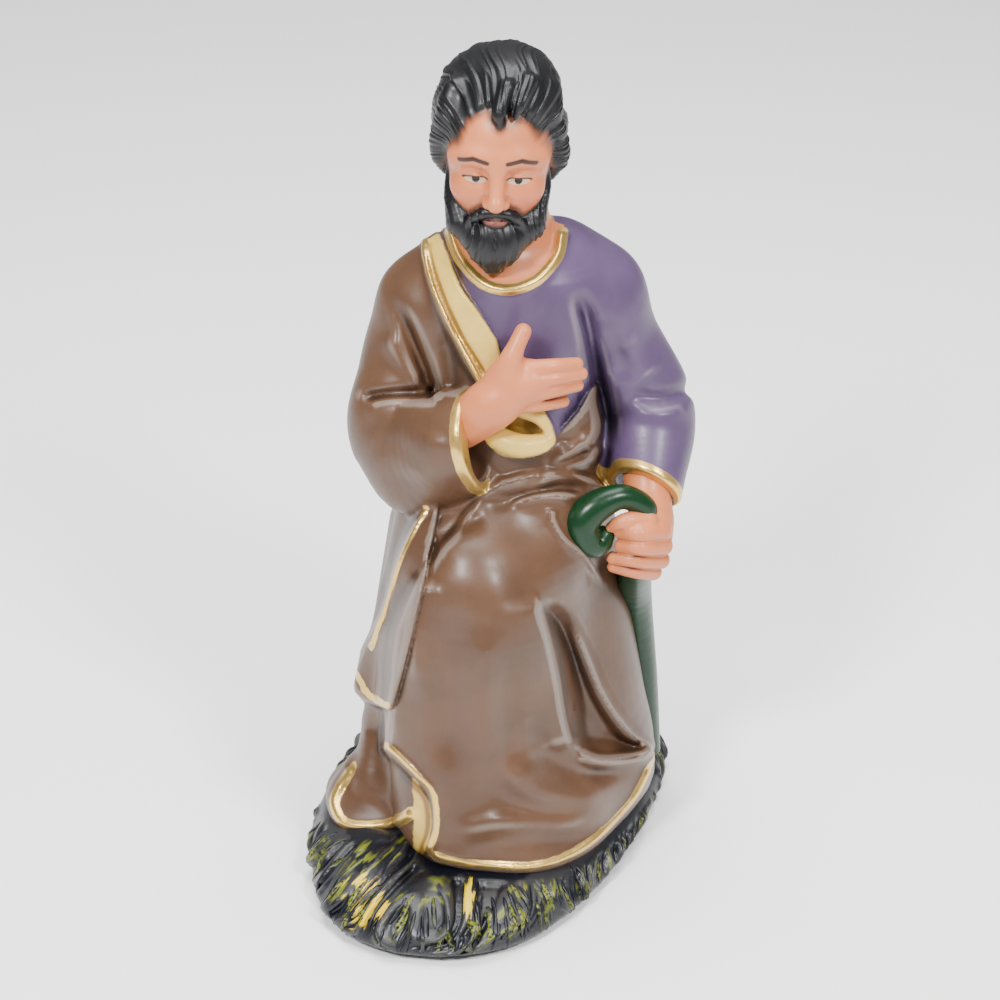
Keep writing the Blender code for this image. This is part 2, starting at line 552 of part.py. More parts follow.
def fold_sleeves(clay):
    # the ring of the tunic's collar
    clay.fold([(-4.7, 79.5), (-3.4, 76.0), (-0.8, 73.2), (2.2, 72.5), (5.2, 73.6), (7.4, 76.2),
               (7.9, 78.8)], 0.7, 0.75,
              ends=(0.01, 0.01))
    # the sleeve of the mantle
    clay.fold([(-10.7, 70.8), (-9.6, 68.1), (-7.1, 63.9), (-6.3, 61.3)], 1.2, -1.1)
    clay.fold([(-12.2, 68.1), (-10.7, 64.8), (-8.2, 61.5)], 1.4, 0.7)
    clay.fold([(-14.2, 60.4), (-10.4, 61.7), (-6.3, 62.2)], 1.1, -1.0)
    clay.fold([(-5.5, 67.5), (-4.2, 64.6), (-4.2, 61.3)], 1.0, -1.4)
    clay.fold([(-12.6, 57.2), (-8.2, 58.3), (-3.8, 60.4)], 1.6, 0.6)
    clay.fold([(-12.9, 54.4), (-8.2, 53.9), (-3.1, 56.9)], 1.3, -0.5)
    # the sleeve of the tunic
    clay.fold([(9.3, 73.0), (10.9, 68.1), (12.5, 60.4), (12.7, 55.0)], 1.1, -1.5)
    clay.fold([(15.5, 62.1), (18.6, 61.3), (22.1, 62.2)], 1.0, -0.7)
    clay.fold([(15.5, 60.2), (18.8, 59.3), (22.3, 60.0)], 1.0, 0.6)
    clay.fold([(14.0, 68.1), (16.4, 64.8), (18.0, 62.8)], 1.5, 0.5)


def model_figure(clay):
    model_robes(clay)
    fold_robes(clay)
    model_arms(clay)
    model_neck(clay)
    fold_sleeves(clay)
    model_apart(clay, HEAD_MIDDLE, HEAD_TURN, 15, model_head)
    model_crook(clay)
    model_hands(clay)


def new_collection(name):
    found = bpy.data.collections.get(name)
    if found is None:
        found = bpy.data.collections.new(name)
        bpy.context.scene.collection.children.link(found)
    return found


def new_mesh_object(name, places, faces, collection):
    mesh = bpy.data.meshes.new(name)
    mesh.from_pydata(places.tolist(), [], faces.tolist())
    obj = bpy.data.objects.new(name, mesh)
    collection.objects.link(obj)
    return obj


def thin_out(obj, most):
    """Collapses small triangles where the form is plain, until most are left."""
    triangles = 2 * len(obj.data.polygons)
    thinner = obj.modifiers.new("thinner", "DECIMATE")
    thinner.ratio = most / triangles
    done = bpy.data.meshes.new_from_object(obj.evaluated_get(bpy.context.evaluated_depsgraph_get()))
    obj.modifiers.clear()
    obj.data = done


def plaster():
    material = bpy.data.materials.new("painted_plaster")
    material.use_nodes = True
    shader = material.node_tree.nodes["Principled BSDF"]
    shader.inputs["Base Color"].default_value = (0.27, 0.19, 0.14, 1)
    shader.inputs["Roughness"].default_value = 0.4
    return material


def main():
    for obj in list(bpy.data.objects):
        bpy.data.objects.remove(obj)
    step = GRID_STEP / HEIGHT * UNITS
    points, shape = grid_points(step)
    clay = Clay(points, drawn(points))
    model_figure(clay)
    clay.gap = np.maximum(clay.gap, -clay.points[:, 2])
    places, faces = outer_shell(*skin(soften(clay.gap.reshape(shape)), step))
    places[:, 2] = np.maximum(places[:, 2], 0)
    places[:, :2] -= PLAN_MIDDLE
    saint = new_collection("saint_statue")
    figure = new_mesh_object("kneeling_figure", places * HEIGHT / UNITS, faces, saint)
    thin_out(figure, MOST_TRIANGLES)
    figure.data.materials.append(plaster())


main()
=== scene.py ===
"""Looks of a kneeling saint for a nativity scene: painted plaster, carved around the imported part.

Each piece is carved in a field that holds, for points of a fine grid, how far they lie from the skin of
the form: masses are melted together, cloth is laid on, folds are pressed in, and the skin is taken off
near the surface alone. The paint is laid by distances from drawn borders, kept on the points of the skin,
so that each border stays as crisp as a brush leaves it. Lengths in the field are hundredths of the height.
"""

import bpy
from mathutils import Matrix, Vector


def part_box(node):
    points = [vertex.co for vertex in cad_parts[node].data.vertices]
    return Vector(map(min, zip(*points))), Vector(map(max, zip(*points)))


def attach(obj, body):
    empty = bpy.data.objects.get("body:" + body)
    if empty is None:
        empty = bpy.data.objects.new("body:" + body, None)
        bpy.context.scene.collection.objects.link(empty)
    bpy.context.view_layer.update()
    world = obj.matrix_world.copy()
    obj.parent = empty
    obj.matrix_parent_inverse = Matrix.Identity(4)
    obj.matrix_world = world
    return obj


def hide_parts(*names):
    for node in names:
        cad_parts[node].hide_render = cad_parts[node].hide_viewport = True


bl_info = {
    "name": "Painted Plaster Nativity Saint",
    "version": (1, 0, 0),
    "blender": (4, 5, 0),
    "location": "View3D > Sidebar > Plaster Saint",
    "description": "Carves and paints a kneeling nativity figure around its packed solid",
    "category": "Add Mesh",
}

import math
from itertools import product

import bpy
import numpy as np
from bpy.props import FloatProperty, FloatVectorProperty, IntProperty, PointerProperty
from mathutils import Euler, Vector

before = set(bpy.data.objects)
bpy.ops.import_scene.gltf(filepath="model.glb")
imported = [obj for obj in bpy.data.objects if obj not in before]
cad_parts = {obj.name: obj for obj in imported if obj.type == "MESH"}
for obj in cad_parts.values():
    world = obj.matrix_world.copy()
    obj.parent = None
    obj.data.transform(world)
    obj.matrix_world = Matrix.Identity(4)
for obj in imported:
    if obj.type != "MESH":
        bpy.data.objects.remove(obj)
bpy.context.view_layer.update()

NODE = "kneeling_figure"
BODY = "root"

CARVED_HEIGHT = 99.94  # hundredths: what the carved figure measures from its underside to its hair
UNIT = (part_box(NODE)[1][2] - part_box(NODE)[0][2]) / CARVED_HEIGHT  # metres in a hundredth
PLAN_MIDDLE = np.array((0.96, -2.48, 0))  # hundredths: the middle of the mound in plan
FAR = 60.0  # hundredths: further off than anything that matters

# The front is drawn as it is seen from a little above, and folds are pressed in along that sight.
LOOK_DOWN = math.radians(28)
EYE_DISTANCE = 320  # hundredths, from the eye to the middle of the figure
SEEN_SCALE = 0.944  # what one hundredth at that distance measures on the drawing
SEEN_MIDDLE = 54.1  # the row of the drawing that holds the middle of the figure
MIDDLE = 50  # hundredths, the height of the middle

MOST_ROBES = 195000  # triangles
MOST_HEAD = 180000
MOST_HAND = 60000
MOST_MOUND = 120000
HAND_REACH = 10.5  # hundredths, from the middle of a hand to the border of its grid

LIGHTS = (  # name, place in metres, size in metres, watts
    ("left_light", (-0.75, -1.25, 1.6), 0.35, 52),
    ("right_light", (0.85, -1.1, 1.5), 0.35, 38),
    ("top_light", (0.0, 0.2, 2.0), 1.4, 74),
)
WORLD_LIGHT = 0.32
FLOOR_SIZE = 6  # metres
FLOOR_COLOUR = (0.9, 0.9, 0.9, 1)
FLOOR_ROUGHNESS = 0.8
CAMERA_LENS = 99.53  # millimetres, on a sensor 36 mm wide
CAMERA_SHIFT = (0.010, -0.042)


# Curves and blends

def smooth_path(points, closed=False, steps=4):
    """More points, on one smooth curve through the given ones."""
    points = np.array(points, float)
    if closed:
        ring = np.vstack([points[-1], points, points[:2]])
    else:
        ring = np.vstack([2 * points[0] - points[1], points, 2 * points[-1] - points[-2]])
    share = np.linspace(0, 1, steps, endpoint=False)[:, None]
    spans = []
    for a, b, c, d in zip(ring, ring[1:], ring[2:], ring[3:]):
        spans.append(0.5 * (2 * b + (c - a) * share + (2 * a - 5 * b + 4 * c - d) * share**2
                            + (3 * b - a - 3 * c + d) * share**3))
    if not closed:
        spans.append(points[-1:])
    return np.vstack(spans)


def melt(a, b, blend):
    """The smaller of two distances, with the corner between them filled over blend."""
    overlap = np.maximum(blend - np.abs(a - b), 0)
    return np.minimum(a, b) - overlap * overlap / (4 * blend)


def ramp(value):
    """0 below 0, 1 above 1, and a soft step between."""
    value = np.clip(value, 0, 1)
    return value * value * (3 - 2 * value)


def drawn(points):
    """Where points stand on the drawing of the front: across, and up."""
    x, y, z = points[:, 0], points[:, 1], points[:, 2] - MIDDLE
    up = z * math.cos(LOOK_DOWN) + y * math.sin(LOOK_DOWN)
    away = EYE_DISTANCE - z * math.sin(LOOK_DOWN) + y * math.cos(LOOK_DOWN)
    nearness = SEEN_SCALE * EYE_DISTANCE / away
    return x * nearness, up * nearness + SEEN_MIDDLE


def to_line(places, line):
    """For places on the drawing: distance to a line, side of it (1 on the left of its run) and share of
    its length."""
    places, line = places.astype(np.float32), line.astype(np.float32)
    best = np.full(len(places), FAR * FAR, np.float32)
    side, share = np.zeros_like(best), np.zeros_like(best)
    for number, (start, end) in enumerate(zip(line, line[1:])):
        along = end - start
        off = places - start
        here = np.clip(off @ (along / (along @ along + 1e-9)), 0, 1)
        rest = off - here[:, None] * along
        gap = np.einsum("ij,ij->i", rest, rest)
        closer = np.flatnonzero(gap < best)
        best[closer] = gap[closer]
        side[closer] = np.sign(along[0] * off[closer, 1] - along[1] * off[closer, 0])
        share[closer] = (number + here[closer]) / (len(line) - 1)
    return np.sqrt(best), side, share


def to_outline(places, line):
    """Distance of places from a closed line, negative inside it."""
    ring = np.vstack([line, line[:1]])
    within = np.zeros(len(places), bool)
    for start, end in zip(ring, ring[1:]):
        crosses = (start[1] > places[:, 1]) != (end[1] > places[:, 1])
        across = start[0] + (places[:, 1] - start[1]) / (end[1] - start[1] + 1e-12) * (end[0] - start[0])
        within ^= crosses & (places[:, 0] < across)
    gap = to_line(places, ring)[0]
    return np.where(within, -gap, gap)


# Shapes: each gives its lowest corner, its highest corner, and its distance function

def ball(centre, radii, turn=(0, 0, 0)):
    """An egg shape. turn is in degrees."""
    centre, radii = np.array(centre, np.float32), np.array(radii, np.float32)
    spin = np.array(Euler([math.radians(a) for a in turn]).to_matrix(), np.float32)
    reach = radii.max()

    def distance(points):
        inner = (points - centre) @ spin / radii
        size = np.linalg.norm(inner, axis=1) + 1e-6
        return size * (size - 1) / (np.linalg.norm(inner / radii, axis=1) + 1e-6)

    return centre - reach, centre + reach, distance


def tube(path, radii, bent=True):
    """A limb along path, as thick as radii says at each of its points."""
    line = np.column_stack([path, radii if np.ndim(radii) else [radii] * len(path)])
    line = (smooth_path(line, steps=6) if bent else line).astype(np.float32)
    low = (line[:, :3] - line[:, 3:]).min(axis=0)
    high = (line[:, :3] + line[:, 3:]).max(axis=0)

    def distance(points):
        found = np.full(len(points), FAR, np.float32)
        for start, end in zip(line, line[1:]):
            along = end[:3] - start[:3]
            off = points - start[:3]
            share = np.clip(off @ (along / (along @ along + 1e-9)), 0, 1)
            rest = off - share[:, None] * along
            gap = np.sqrt(np.einsum("ij,ij->i", rest, rest))
            found = np.minimum(found, gap - start[3] - share * (end[3] - start[3]))
        return found

    return low, high, distance


def limb(start, end, start_radius, end_radius):
    """A straight limb."""
    return tube([start, end], [start_radius, end_radius], bent=False)


SIDE_EASE = 0.9  # a leaning side is nearer than it measures on the level
RIM_BLEND = 2.0  # hundredths over which the ends of a trunk are rounded
TRUNK_SPARE = 3  # hundredths around its widest reach


def trunk(sections):
    """A body given by sections: height, middle x, middle y, then reaches at equal turns from +X by +Y."""
    levels = smooth_path([[level, x, y, *reaches] for level, x, y, reaches in sections])
    fine = smooth_path(levels[:, 3:].T, closed=True, steps=6)
    turns = np.arange(len(fine) + 1) / len(fine) * 2 * math.pi
    rows = np.vstack([fine, fine[:1]]).T
    widest = rows.max()
    middle = levels[:, 1:3].mean(axis=0)
    low = np.array([*(middle - widest - TRUNK_SPARE), levels[0, 0]], np.float32)
    high = np.array([*(middle + widest + TRUNK_SPARE), levels[-1, 0]], np.float32)

    def distance(points):
        z = np.clip(points[:, 2], levels[0, 0], levels[-1, 0])
        row = np.interp(z, levels[:, 0], np.arange(len(levels)))
        below = np.minimum(row.astype(int), len(levels) - 2)
        share = row - below
        x = points[:, 0] - np.interp(z, levels[:, 0], levels[:, 1])
        y = points[:, 1] - np.interp(z, levels[:, 0], levels[:, 2])
        column = (np.arctan2(y, x) % (2 * math.pi)) / turns[1]
        left = np.minimum(column.astype(int), len(fine) - 1)
        part = column - left
        lower = rows[below, left] * (1 - part) + rows[below, left + 1] * part
        upper = rows[below + 1, left] * (1 - part) + rows[below + 1, left + 1] * part
        side = (np.hypot(x, y) - lower * (1 - share) - upper * share) * SIDE_EASE
        end = np.maximum(levels[0, 0] - points[:, 2], points[:, 2] - levels[-1, 0])
        return -melt(-side, -end, RIM_BLEND)

    return low, high, distance


FIELD_BAND = 8  # hundredths from the skin that a fold moves the field in
BACK_FADE = 2  # hundredths over which a fold dies away at its back


class Clay:
    """Points in order of height, with their distances from the skin so far, negative inside."""

    def __init__(self, points, seen):
        self.points = points
        self.across, self.up = seen
        self.gap = np.full(len(points), FAR, np.float32)

    def near(self, low, high, reach):
        """The numbers of the points in a box, with reach to spare."""
        first, last = np.searchsorted(self.points[:, 2], (low[2] - reach, high[2] + reach))
        some = self.points[first:last]
        within = np.ones(len(some), bool)
        for axis in (0, 1):
            within &= (some[:, axis] > low[axis] - reach) & (some[:, axis] < high[axis] + reach)
        return first + np.flatnonzero(within)

    def seen_near(self, line, reach, back):
        """The numbers and drawn places of the points whose place is near a line, in front of back."""
        low, high = line.min(axis=0) - reach, line.max(axis=0) + reach
        at = np.flatnonzero((self.across > low[0]) & (self.across < high[0]) & (self.up > low[1])
                            & (self.up < high[1]) & (self.points[:, 1] < back + BACK_FADE)
                            & (np.abs(self.gap) < FIELD_BAND))
        return at, np.column_stack([self.across[at], self.up[at]])

    def add(self, shape, blend=1.0):
        """Melts a shape onto what is there."""
        low, high, distance = shape
        at = self.near(low, high, blend + 4)
        self.gap[at] = melt(self.gap[at], distance(self.points[at]), blend)

    def cut(self, shape, blend=0.6):
        """Takes a shape out of what is there."""
        low, high, distance = shape
        at = self.near(low, high, blend + 2)
        self.gap[at] = -melt(-self.gap[at], distance(self.points[at]), blend)

    def lift(self, at, height, back):
        """Moves the skin out by height, dying away behind back."""
        self.gap[at] -= height * ramp((back + BACK_FADE - self.points[at, 1]) / BACK_FADE)

    def fold(self, path, width, height, lean=0.0, back=6.0, ends=(0.25, 0.25)):
        """A fold drawn along path: a ridge, or a furrow if height is negative, dying away to its ends.
        lean makes one side steeper: 1 the left of its run, -1 the right."""
        line = smooth_path(path)
        at, places = self.seen_near(line, 3 * width, back)
        gap, side, share = to_line(places, line)
        spread = width * (1 - 0.75 * np.maximum(0, side * lean))
        fade = ramp(share / max(ends[0], 1e-3)) * ramp((1 - share) / max(ends[1], 1e-3))
        self.lift(at, height * np.exp(-(gap / spread) ** 2) * fade, back)

    def layer(self, outline, thickness, back=6.0, edge=0.6):
        """Cloth laid over what a closed outline covers on the drawing."""
        line = smooth_path(outline, closed=True)
        at, places = self.seen_near(line, edge, back)
        self.lift(at, thickness * ramp(0.5 - to_outline(places, line) / edge), back)

    def edge(self, path, height, reach, back=6.0, soft=0.4, ends=0.12):
        """The raised border of cloth that lies on the left of path's run and dies away over reach."""
        line = smooth_path(path)
        at, places = self.seen_near(line, reach * 1.6, back)
        gap, side, share = to_line(places, line)
        fade = ramp(share / ends) * ramp((1 - share) / ends)
        self.lift(at, height * ramp(0.5 + side * gap / soft) * np.exp(-(gap / reach) ** 2) * fade, back)

    def blank(self):
        """The same points with nothing worked on them yet."""
        return Clay(self.points, (self.across, self.up))


# Noise that is the same on every run

LATTICE = 64  # knots along each side before the noise repeats


def lumps(cells, seed):
    """Smooth noise between -1 and 1, with one knot to each whole number of cells."""
    knots = np.random.default_rng(seed).uniform(-1, 1, (LATTICE,) * 3).astype(np.float32)
    low = np.floor(cells).astype(int)
    share = ramp(cells - low)
    total = np.zeros(len(cells), np.float32)
    for corner in product((0, 1), repeat=3):
        weight = np.prod(np.where(corner, share, 1 - share), axis=1)
        at = (low + corner) % LATTICE
        total += weight * knots[at[:, 0], at[:, 1], at[:, 2]]
    return total


# From the field to a mesh

BLOCK = 3  # points of the fine grid along each side of a block that is worked or left out as a whole


def worked(points, *works):
    """The distances that one work after another leaves at points, which stand in order of height."""
    clay = Clay(points, drawn(points))
    for work in works:
        work(clay)
    return clay.gap


def in_height_order(places, measure):
    """What measure finds at places, whatever their order."""
    order = np.argsort(places[:, 2], kind="stable")
    found = measure(places[order].astype(np.float32))
    back = np.argsort(order)
    if isinstance(found, dict):
        return {name: values[back] for name, values in found.items()}
    return found[back]


def field_at(places, work):
    """The distances that work leaves at places, whatever their order."""
    return in_height_order(places, lambda points: worked(points, work))


def field_near_skin(low, high, step, work):
    """The field on a fine grid in order z, y, x, worked only in the blocks that the skin passes through."""
    wide = step * BLOCK
    counts = np.ceil((high - low) / wide).astype(int) + 1
    first = low + step * (BLOCK - 1) / 2
    z, y, x = np.meshgrid(*(first[axis] + wide * np.arange(counts[axis], dtype=np.float32)
                            for axis in (2, 1, 0)), indexing="ij")
    gap = worked(np.column_stack([x.ravel(), y.ravel(), z.ravel()]), work).reshape(x.shape)
    for axis in range(3):
        gap = np.repeat(gap, BLOCK, axis)
    busy = np.abs(gap) < 2 * wide
    gap = np.where(gap < 0, -FAR, FAR).astype(np.float32)
    at = np.argwhere(busy)
    gap[busy] = worked((low + step * at[:, ::-1]).astype(np.float32), work)
    return gap


CUBE = np.array(list(product((0, 1), repeat=3)))  # the corners of a cell of the grid


def one_corner(grid, corner):
    """The part of a grid that holds the same corner of every cell."""
    return grid[tuple(slice(low, size - 1 + low) for low, size in zip(corner, grid.shape))]


def touching_corners():
    """For each pattern of a cell's corners, inside or not, the sets of them where the skin meets itself."""
    found = []
    for code in range(256):
        inside = [(code >> corner) & 1 for corner in range(8)]
        sets = []
        for axis, level in product(range(3), (0, 1)):
            face = [corner for corner in range(8) if CUBE[corner][axis] == level]
            a, b, c, d = (inside[corner] for corner in face)
            if a == d and b == c and a != b:
                sets.append(face)
        odd = [corner for corner in range(8) if inside[corner] == (sum(inside) == 2)]
        if len(odd) == 2 and sum(odd) == 7:
            sets.append(odd)
        found.append(sets)
    return found


SETTLE_ROUNDS = 12
TURNED_GAP = 0.02  # hundredths: how far from the skin a turned point comes to lie


def settle(gap):
    """Turns over single points of the grid until the skin touches itself at no edge and no corner."""
    touching = touching_corners()
    suspect = np.array([bool(sets) for sets in touching])
    for _ in range(SETTLE_ROUNDS):
        inside = gap < 0
        code = np.zeros([size - 1 for size in gap.shape], np.uint8)
        for number, corner in enumerate(CUBE):
            code |= one_corner(inside, corner).astype(np.uint8) << np.uint8(number)
        bad = np.argwhere(suspect[code])
        if not len(bad):
            break
        turned = set()
        for cell in bad:
            for corners in touching[code[tuple(cell)]]:
                places = [tuple(cell + CUBE[corner]) for corner in corners]
                if turned.isdisjoint(places):
                    least = min(places, key=lambda place: abs(gap[place]))
                    gap[least] = -TURNED_GAP * np.sign(gap[least])
                    turned.add(least)
    return gap


def skin(gap, step, origin):
    """Corners and four-sided faces of the surface where gap, a grid in order z, y, x, passes 0."""
    inside = settle(gap) < 0
    count = sum(one_corner(inside, corner).astype(np.int8) for corner in CUBE)
    cells = (count > 0) & (count < len(CUBE))
    number = np.full(cells.shape, -1)
    number[cells] = np.arange(np.count_nonzero(cells))
    base = np.argwhere(cells)
    total = np.zeros((len(base), 3))
    crossings = np.zeros(len(base))
    for axis, first, second in product(range(3), (0, 1), (0, 1)):
        start, end = (np.insert([first, second], axis, level) for level in (0, 1))
        low, high = (gap[tuple((base + corner).T)] for corner in (start, end))
        cut = (low < 0) != (high < 0)
        share = np.where(cut, low / np.where(cut, low - high, 1), 0)
        total += (start + share[:, None] * (end - start)) * cut[:, None]
        crossings += cut
    places = (base + total / crossings[:, None])[:, ::-1] * step + origin
    faces = []
    for axis in range(3):
        a, b = [other for other in range(3) if other != axis]
        low = [slice(1, size - 1) for size in gap.shape]
        low[axis] = slice(0, gap.shape[axis] - 1)
        high = list(low)
        high[axis] = slice(1, gap.shape[axis])
        first, last = inside[tuple(low)], inside[tuple(high)]
        at = np.argwhere(first != last)
        outward = first[first != last]
        for other in (a, b):
            at[:, other] += 1
        ring = []
        for da, db in ((-1, -1), (0, -1), (0, 0), (-1, 0)):
            cell = at.copy()
            cell[:, a] += da
            cell[:, b] += db
            ring.append(number[tuple(cell.T)])
        quads = np.column_stack(ring)
        turned = ~outward if axis == 1 else outward
        quads[turned] = quads[turned][:, ::-1]
        faces.append(quads)
    return places, np.vstack(faces)


def outer_shell(places, faces):
    """Only the largest connected piece: the inner walls of closed hollows and loose crumbs are left out."""
    label = np.arange(len(places))
    while True:
        least = label[faces].min(axis=1)
        newer = label.copy()
        for corner in range(faces.shape[1]):
            np.minimum.at(newer, faces[:, corner], least)
        newer = newer[newer]
        if (newer == label).all():
            break
        label = newer
    largest = np.bincount(label).argmax()
    kept = label == largest
    number = np.cumsum(kept) - 1
    return places[kept], number[faces[kept[faces[:, 0]]]]


def slope_at(places, work, nudge=0.05):
    """The field and its slope at places."""
    gap = field_at(places, work)
    slope = np.empty_like(places)
    for axis in range(3):
        moved = places.copy()
        moved[:, axis] += nudge
        slope[:, axis] = (field_at(moved, work) - gap) / nudge
    return gap, slope


def on_skin(places, work, rounds=2, most=0.15):
    """Moves places onto the skin, along the field's slope."""
    for _ in range(rounds):
        gap, slope = slope_at(places, work)
        size = np.linalg.norm(slope, axis=1)
        move = np.clip(gap / np.maximum(size, 0.4), -most, most)
        places = places - (move / np.maximum(size, 1e-6))[:, None] * slope
    return places


def hollowness(places, work, reach):
    """How far the skin bends in around each place: above 0 in a crease, below 0 on a ridge."""
    slope = slope_at(places, work)[1]
    slope /= np.maximum(np.linalg.norm(slope, axis=1), 1e-6)[:, None]
    outside, inside = (field_at(places + way * slope * reach, work) for way in (1, -1))
    return np.clip(-(outside + inside) / reach, -1, 1)


def new_object(name, mesh):
    obj = bpy.data.objects.new(name, mesh)
    bpy.context.scene.collection.objects.link(obj)
    return obj


def evaluated_mesh(obj):
    """A plain mesh of the object with its modifiers, which are then removed."""
    mesh = bpy.data.meshes.new_from_object(obj.evaluated_get(bpy.context.evaluated_depsgraph_get()))
    obj.modifiers.clear()
    return mesh


def thin_out(obj, most):
    """Collapses small triangles where the form is plain, until most are left."""
    triangles = 2 * len(obj.data.polygons)
    if triangles > most:
        thinner = obj.modifiers.new("thinner", "DECIMATE")
        thinner.ratio = most / triangles
        obj.data = evaluated_mesh(obj)


def points_of(mesh):
    places = np.empty(3 * len(mesh.vertices), np.float32)
    mesh.vertices.foreach_get("co", places)
    return places.reshape(-1, 3)


def keep_on_points(mesh, name, values):
    """Stores a number or a vector for each point of a mesh."""
    kind, field = ("FLOAT", "value") if values.ndim == 1 else ("FLOAT_VECTOR", "vector")
    kept = mesh.attributes.new(name, kind, "POINT")
    kept.data.foreach_set(field, values.astype(np.float32).ravel())


def to_metres(places):
    return (places - PLAN_MIDDLE) * UNIT


CREASE_REACH = 0.9  # hundredths: how far to each side of the skin a crease is felt for


def carve(name, work, low, high, step, most, paint=None, stand=None):
    """A piece carved by work, painted by the masks that paint gives, and stood in place by stand."""
    low, high = np.array(low, np.float32), np.array(high, np.float32)
    gap = field_near_skin(low, high, step, work)
    places, faces = outer_shell(*skin(gap, step, low))
    mesh = bpy.data.meshes.new(name)
    mesh.from_pydata(places.tolist(), [], faces.tolist())
    obj = new_object(name, mesh)
    thin_out(obj, most)
    places = on_skin(points_of(obj.data), work)
    masks = in_height_order(places, paint) if paint else {}
    # the bend of the skin, kept for the painted shade in creases and the painted highlight on ridges
    masks["hollow"] = hollowness(places, work, CREASE_REACH)
    if stand:
        places = stand(places)
    places[:, 2] = np.maximum(places[:, 2], 0)
    obj.data.vertices.foreach_set("co", to_metres(places).astype(np.float32).ravel())
    for mask, values in masks.items():
        keep_on_points(obj.data, mask, values)
    obj.data.shade_smooth()
    obj.data.update()
    return obj


def settle_in(obj, material):
    """Gives the piece its paint and tells the frame what it stands for."""
    obj.data.materials.clear()
    obj.data.materials.append(material)
    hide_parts(NODE)
    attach(obj, BODY)


# The robes

BODY_SECTIONS = (  # height, middle x, middle y, reaches each 30 degrees from +X by the back to the front
    (3, 1, -1, (16.6, 18.6, 19.5, 20, 18, 16.0, 16.0, 14.0, 15.4, 18.4, 17.0, 15.0)),
    (7, 1, -1, (17.4, 19.0, 19.5, 20, 18, 16.0, 16.2, 14.5, 16.2, 19.4, 18.0, 15.8)),
    (14, 1, -1, (16.8, 17.4, 17.0, 17, 16, 15.5, 15.4, 14.3, 16.0, 18.2, 16.6, 15.2)),
    (22, 1, -1, (15.6, 15.8, 14.5, 14, 14, 14.5, 15.2, 15.0, 16.0, 17.4, 14.8, 14.0)),
    (30, 1, -1, (13.8, 13.8, 12.5, 12, 12.5, 14.0, 14.3, 14.8, 16.6, 17.4, 13.8, 12.4)),
    (37, 1, -1, (11.8, 12.0, 11.5, 11, 12, 13.0, 13.2, 14.0, 17.0, 17.6, 13.4, 11.4)),
    (43, 1.2, 0, (10.8, 11.0, 10.8, 10.5, 11, 12.0, 12.2, 12.6, 14.8, 15.2, 13.8, 12.0)),
    (49, 1.6, 1, (10.4, 10.6, 10.2, 10, 10.4, 11.0, 11.0, 11.0, 11.4, 11.6, 12.0, 11.2)),
    (56, 2, 1, (10.0, 10.4, 9.6, 9.2, 9.6, 10.4, 10.6, 10.4, 10.2, 10.2, 10.4, 10.2)),
    (64, 2, 1, (10.2, 10.4, 9.4, 8.8, 9.4, 10.4, 10.6, 10.2, 9.6, 9.4, 9.8, 10.0)),
    (70, 2, 1, (11.6, 10.6, 8.8, 8.2, 8.8, 10.2, 10.6, 9.8, 8.8, 8.6, 9.0, 10.6)),
    (74.5, 2, 1, (10.6, 8.8, 7.0, 6.4, 7.0, 8.4, 9.0, 8.4, 8.0, 8.0, 8.2, 9.8)),
    (78, 2, 1, (7.6, 6.2, 5.2, 4.8, 5.0, 5.4, 5.8, 5.6, 5.4, 5.4, 5.6, 6.4)),
)
COLLAR = ((-4.7, 79.5), (-3.4, 76.0), (-0.8, 73.2), (2.2, 72.5), (5.2, 73.6), (7.4, 76.2), (7.9, 78.8))
LAPEL = ((-6.2, 79.5), (-4.8, 76.8), (-3.3, 73.0), (-1.3, 70.1), (0.7, 67.0), (1.3, 64.6), (2.4, 61.0),
         (1.1, 58.5), (-0.7, 60.9), (-2.2, 63.9), (-4.2, 67.7), (-5.9, 71.4), (-7.0, 74.4), (-7.5, 77.9))
LAPEL_EDGE = ((-7.5, 78.4), (-6.9, 74.4), (-5.8, 70.9), (-3.8, 67.0), (-1.1, 62.4), (0.0, 60.7))
LAPEL_GROOVE = ((-6.9, 77.9), (-6.2, 74.6), (-5.1, 71.4), (-3.2, 67.4), (-0.4, 62.8))
WAIST_EDGE = ((16.4, 60.0), (14.4, 60.2), (13.3, 61.7), (12.5, 62.8), (11.1, 61.7), (9.5, 59.0),
              (7.2, 56.5))
FRONT_CLOTH = ((-4.2, 45.6), (-6.3, 43.0), (-8.5, 39.7), (-10.2, 36.2), (-10.9, 32.0), (-11.1, 27.1),
               (-11.7, 22.8), (-9.8, 21.0), (-8.1, 19.2), (-6.6, 17.6), (-6.0, 15.6), (-6.1, 12.9),
               (-6.8, 10.6), (-2.2, 9.4), (4.4, 8.9), (10.9, 11.3), (16.4, 16.7), (23.0, 23.3),
               (23.0, 43.0), (12.0, 51.7), (1.1, 51.7))
SIDE_CLOTH = ((-5.5, 49.5), (-7.2, 48.6), (-8.6, 46.3), (-10.4, 42.3), (-12.1, 36.9), (-15.8, 29.8),
              (-11.5, 26.7), (-10.1, 28.7), (-7.7, 38.6))
HEM_CORNER = ((-11.9, 23.0), (-9.9, 21.1), (-8.1, 19.3), (-6.6, 17.7), (-6.1, 15.6), (-6.2, 13.2),
              (-7.1, 10.9))
HEM_FRONT = ((-6.8, 10.6), (-3.3, 9.6), (1.1, 9.3), (4.9, 9.3), (8.4, 10.3), (12.0, 12.6),
             (15.5, 16.1), (18.3, 21.4))
SIDE_HEM = ((-14.9, 30.7), (-13.6, 28.5), (-11.4, 26.8))
SIDE_TRIM = ((-7.1, 48.6), (-8.6, 46.3), (-10.4, 42.3), (-12.1, 36.9), (-13.3, 33.1))
UNDER_HEM = ((-15.1, 20.5), (-16.8, 17.8), (-17.2, 16.1), (-15.8, 14.0), (-11.6, 13.9), (-8.3, 15.4))
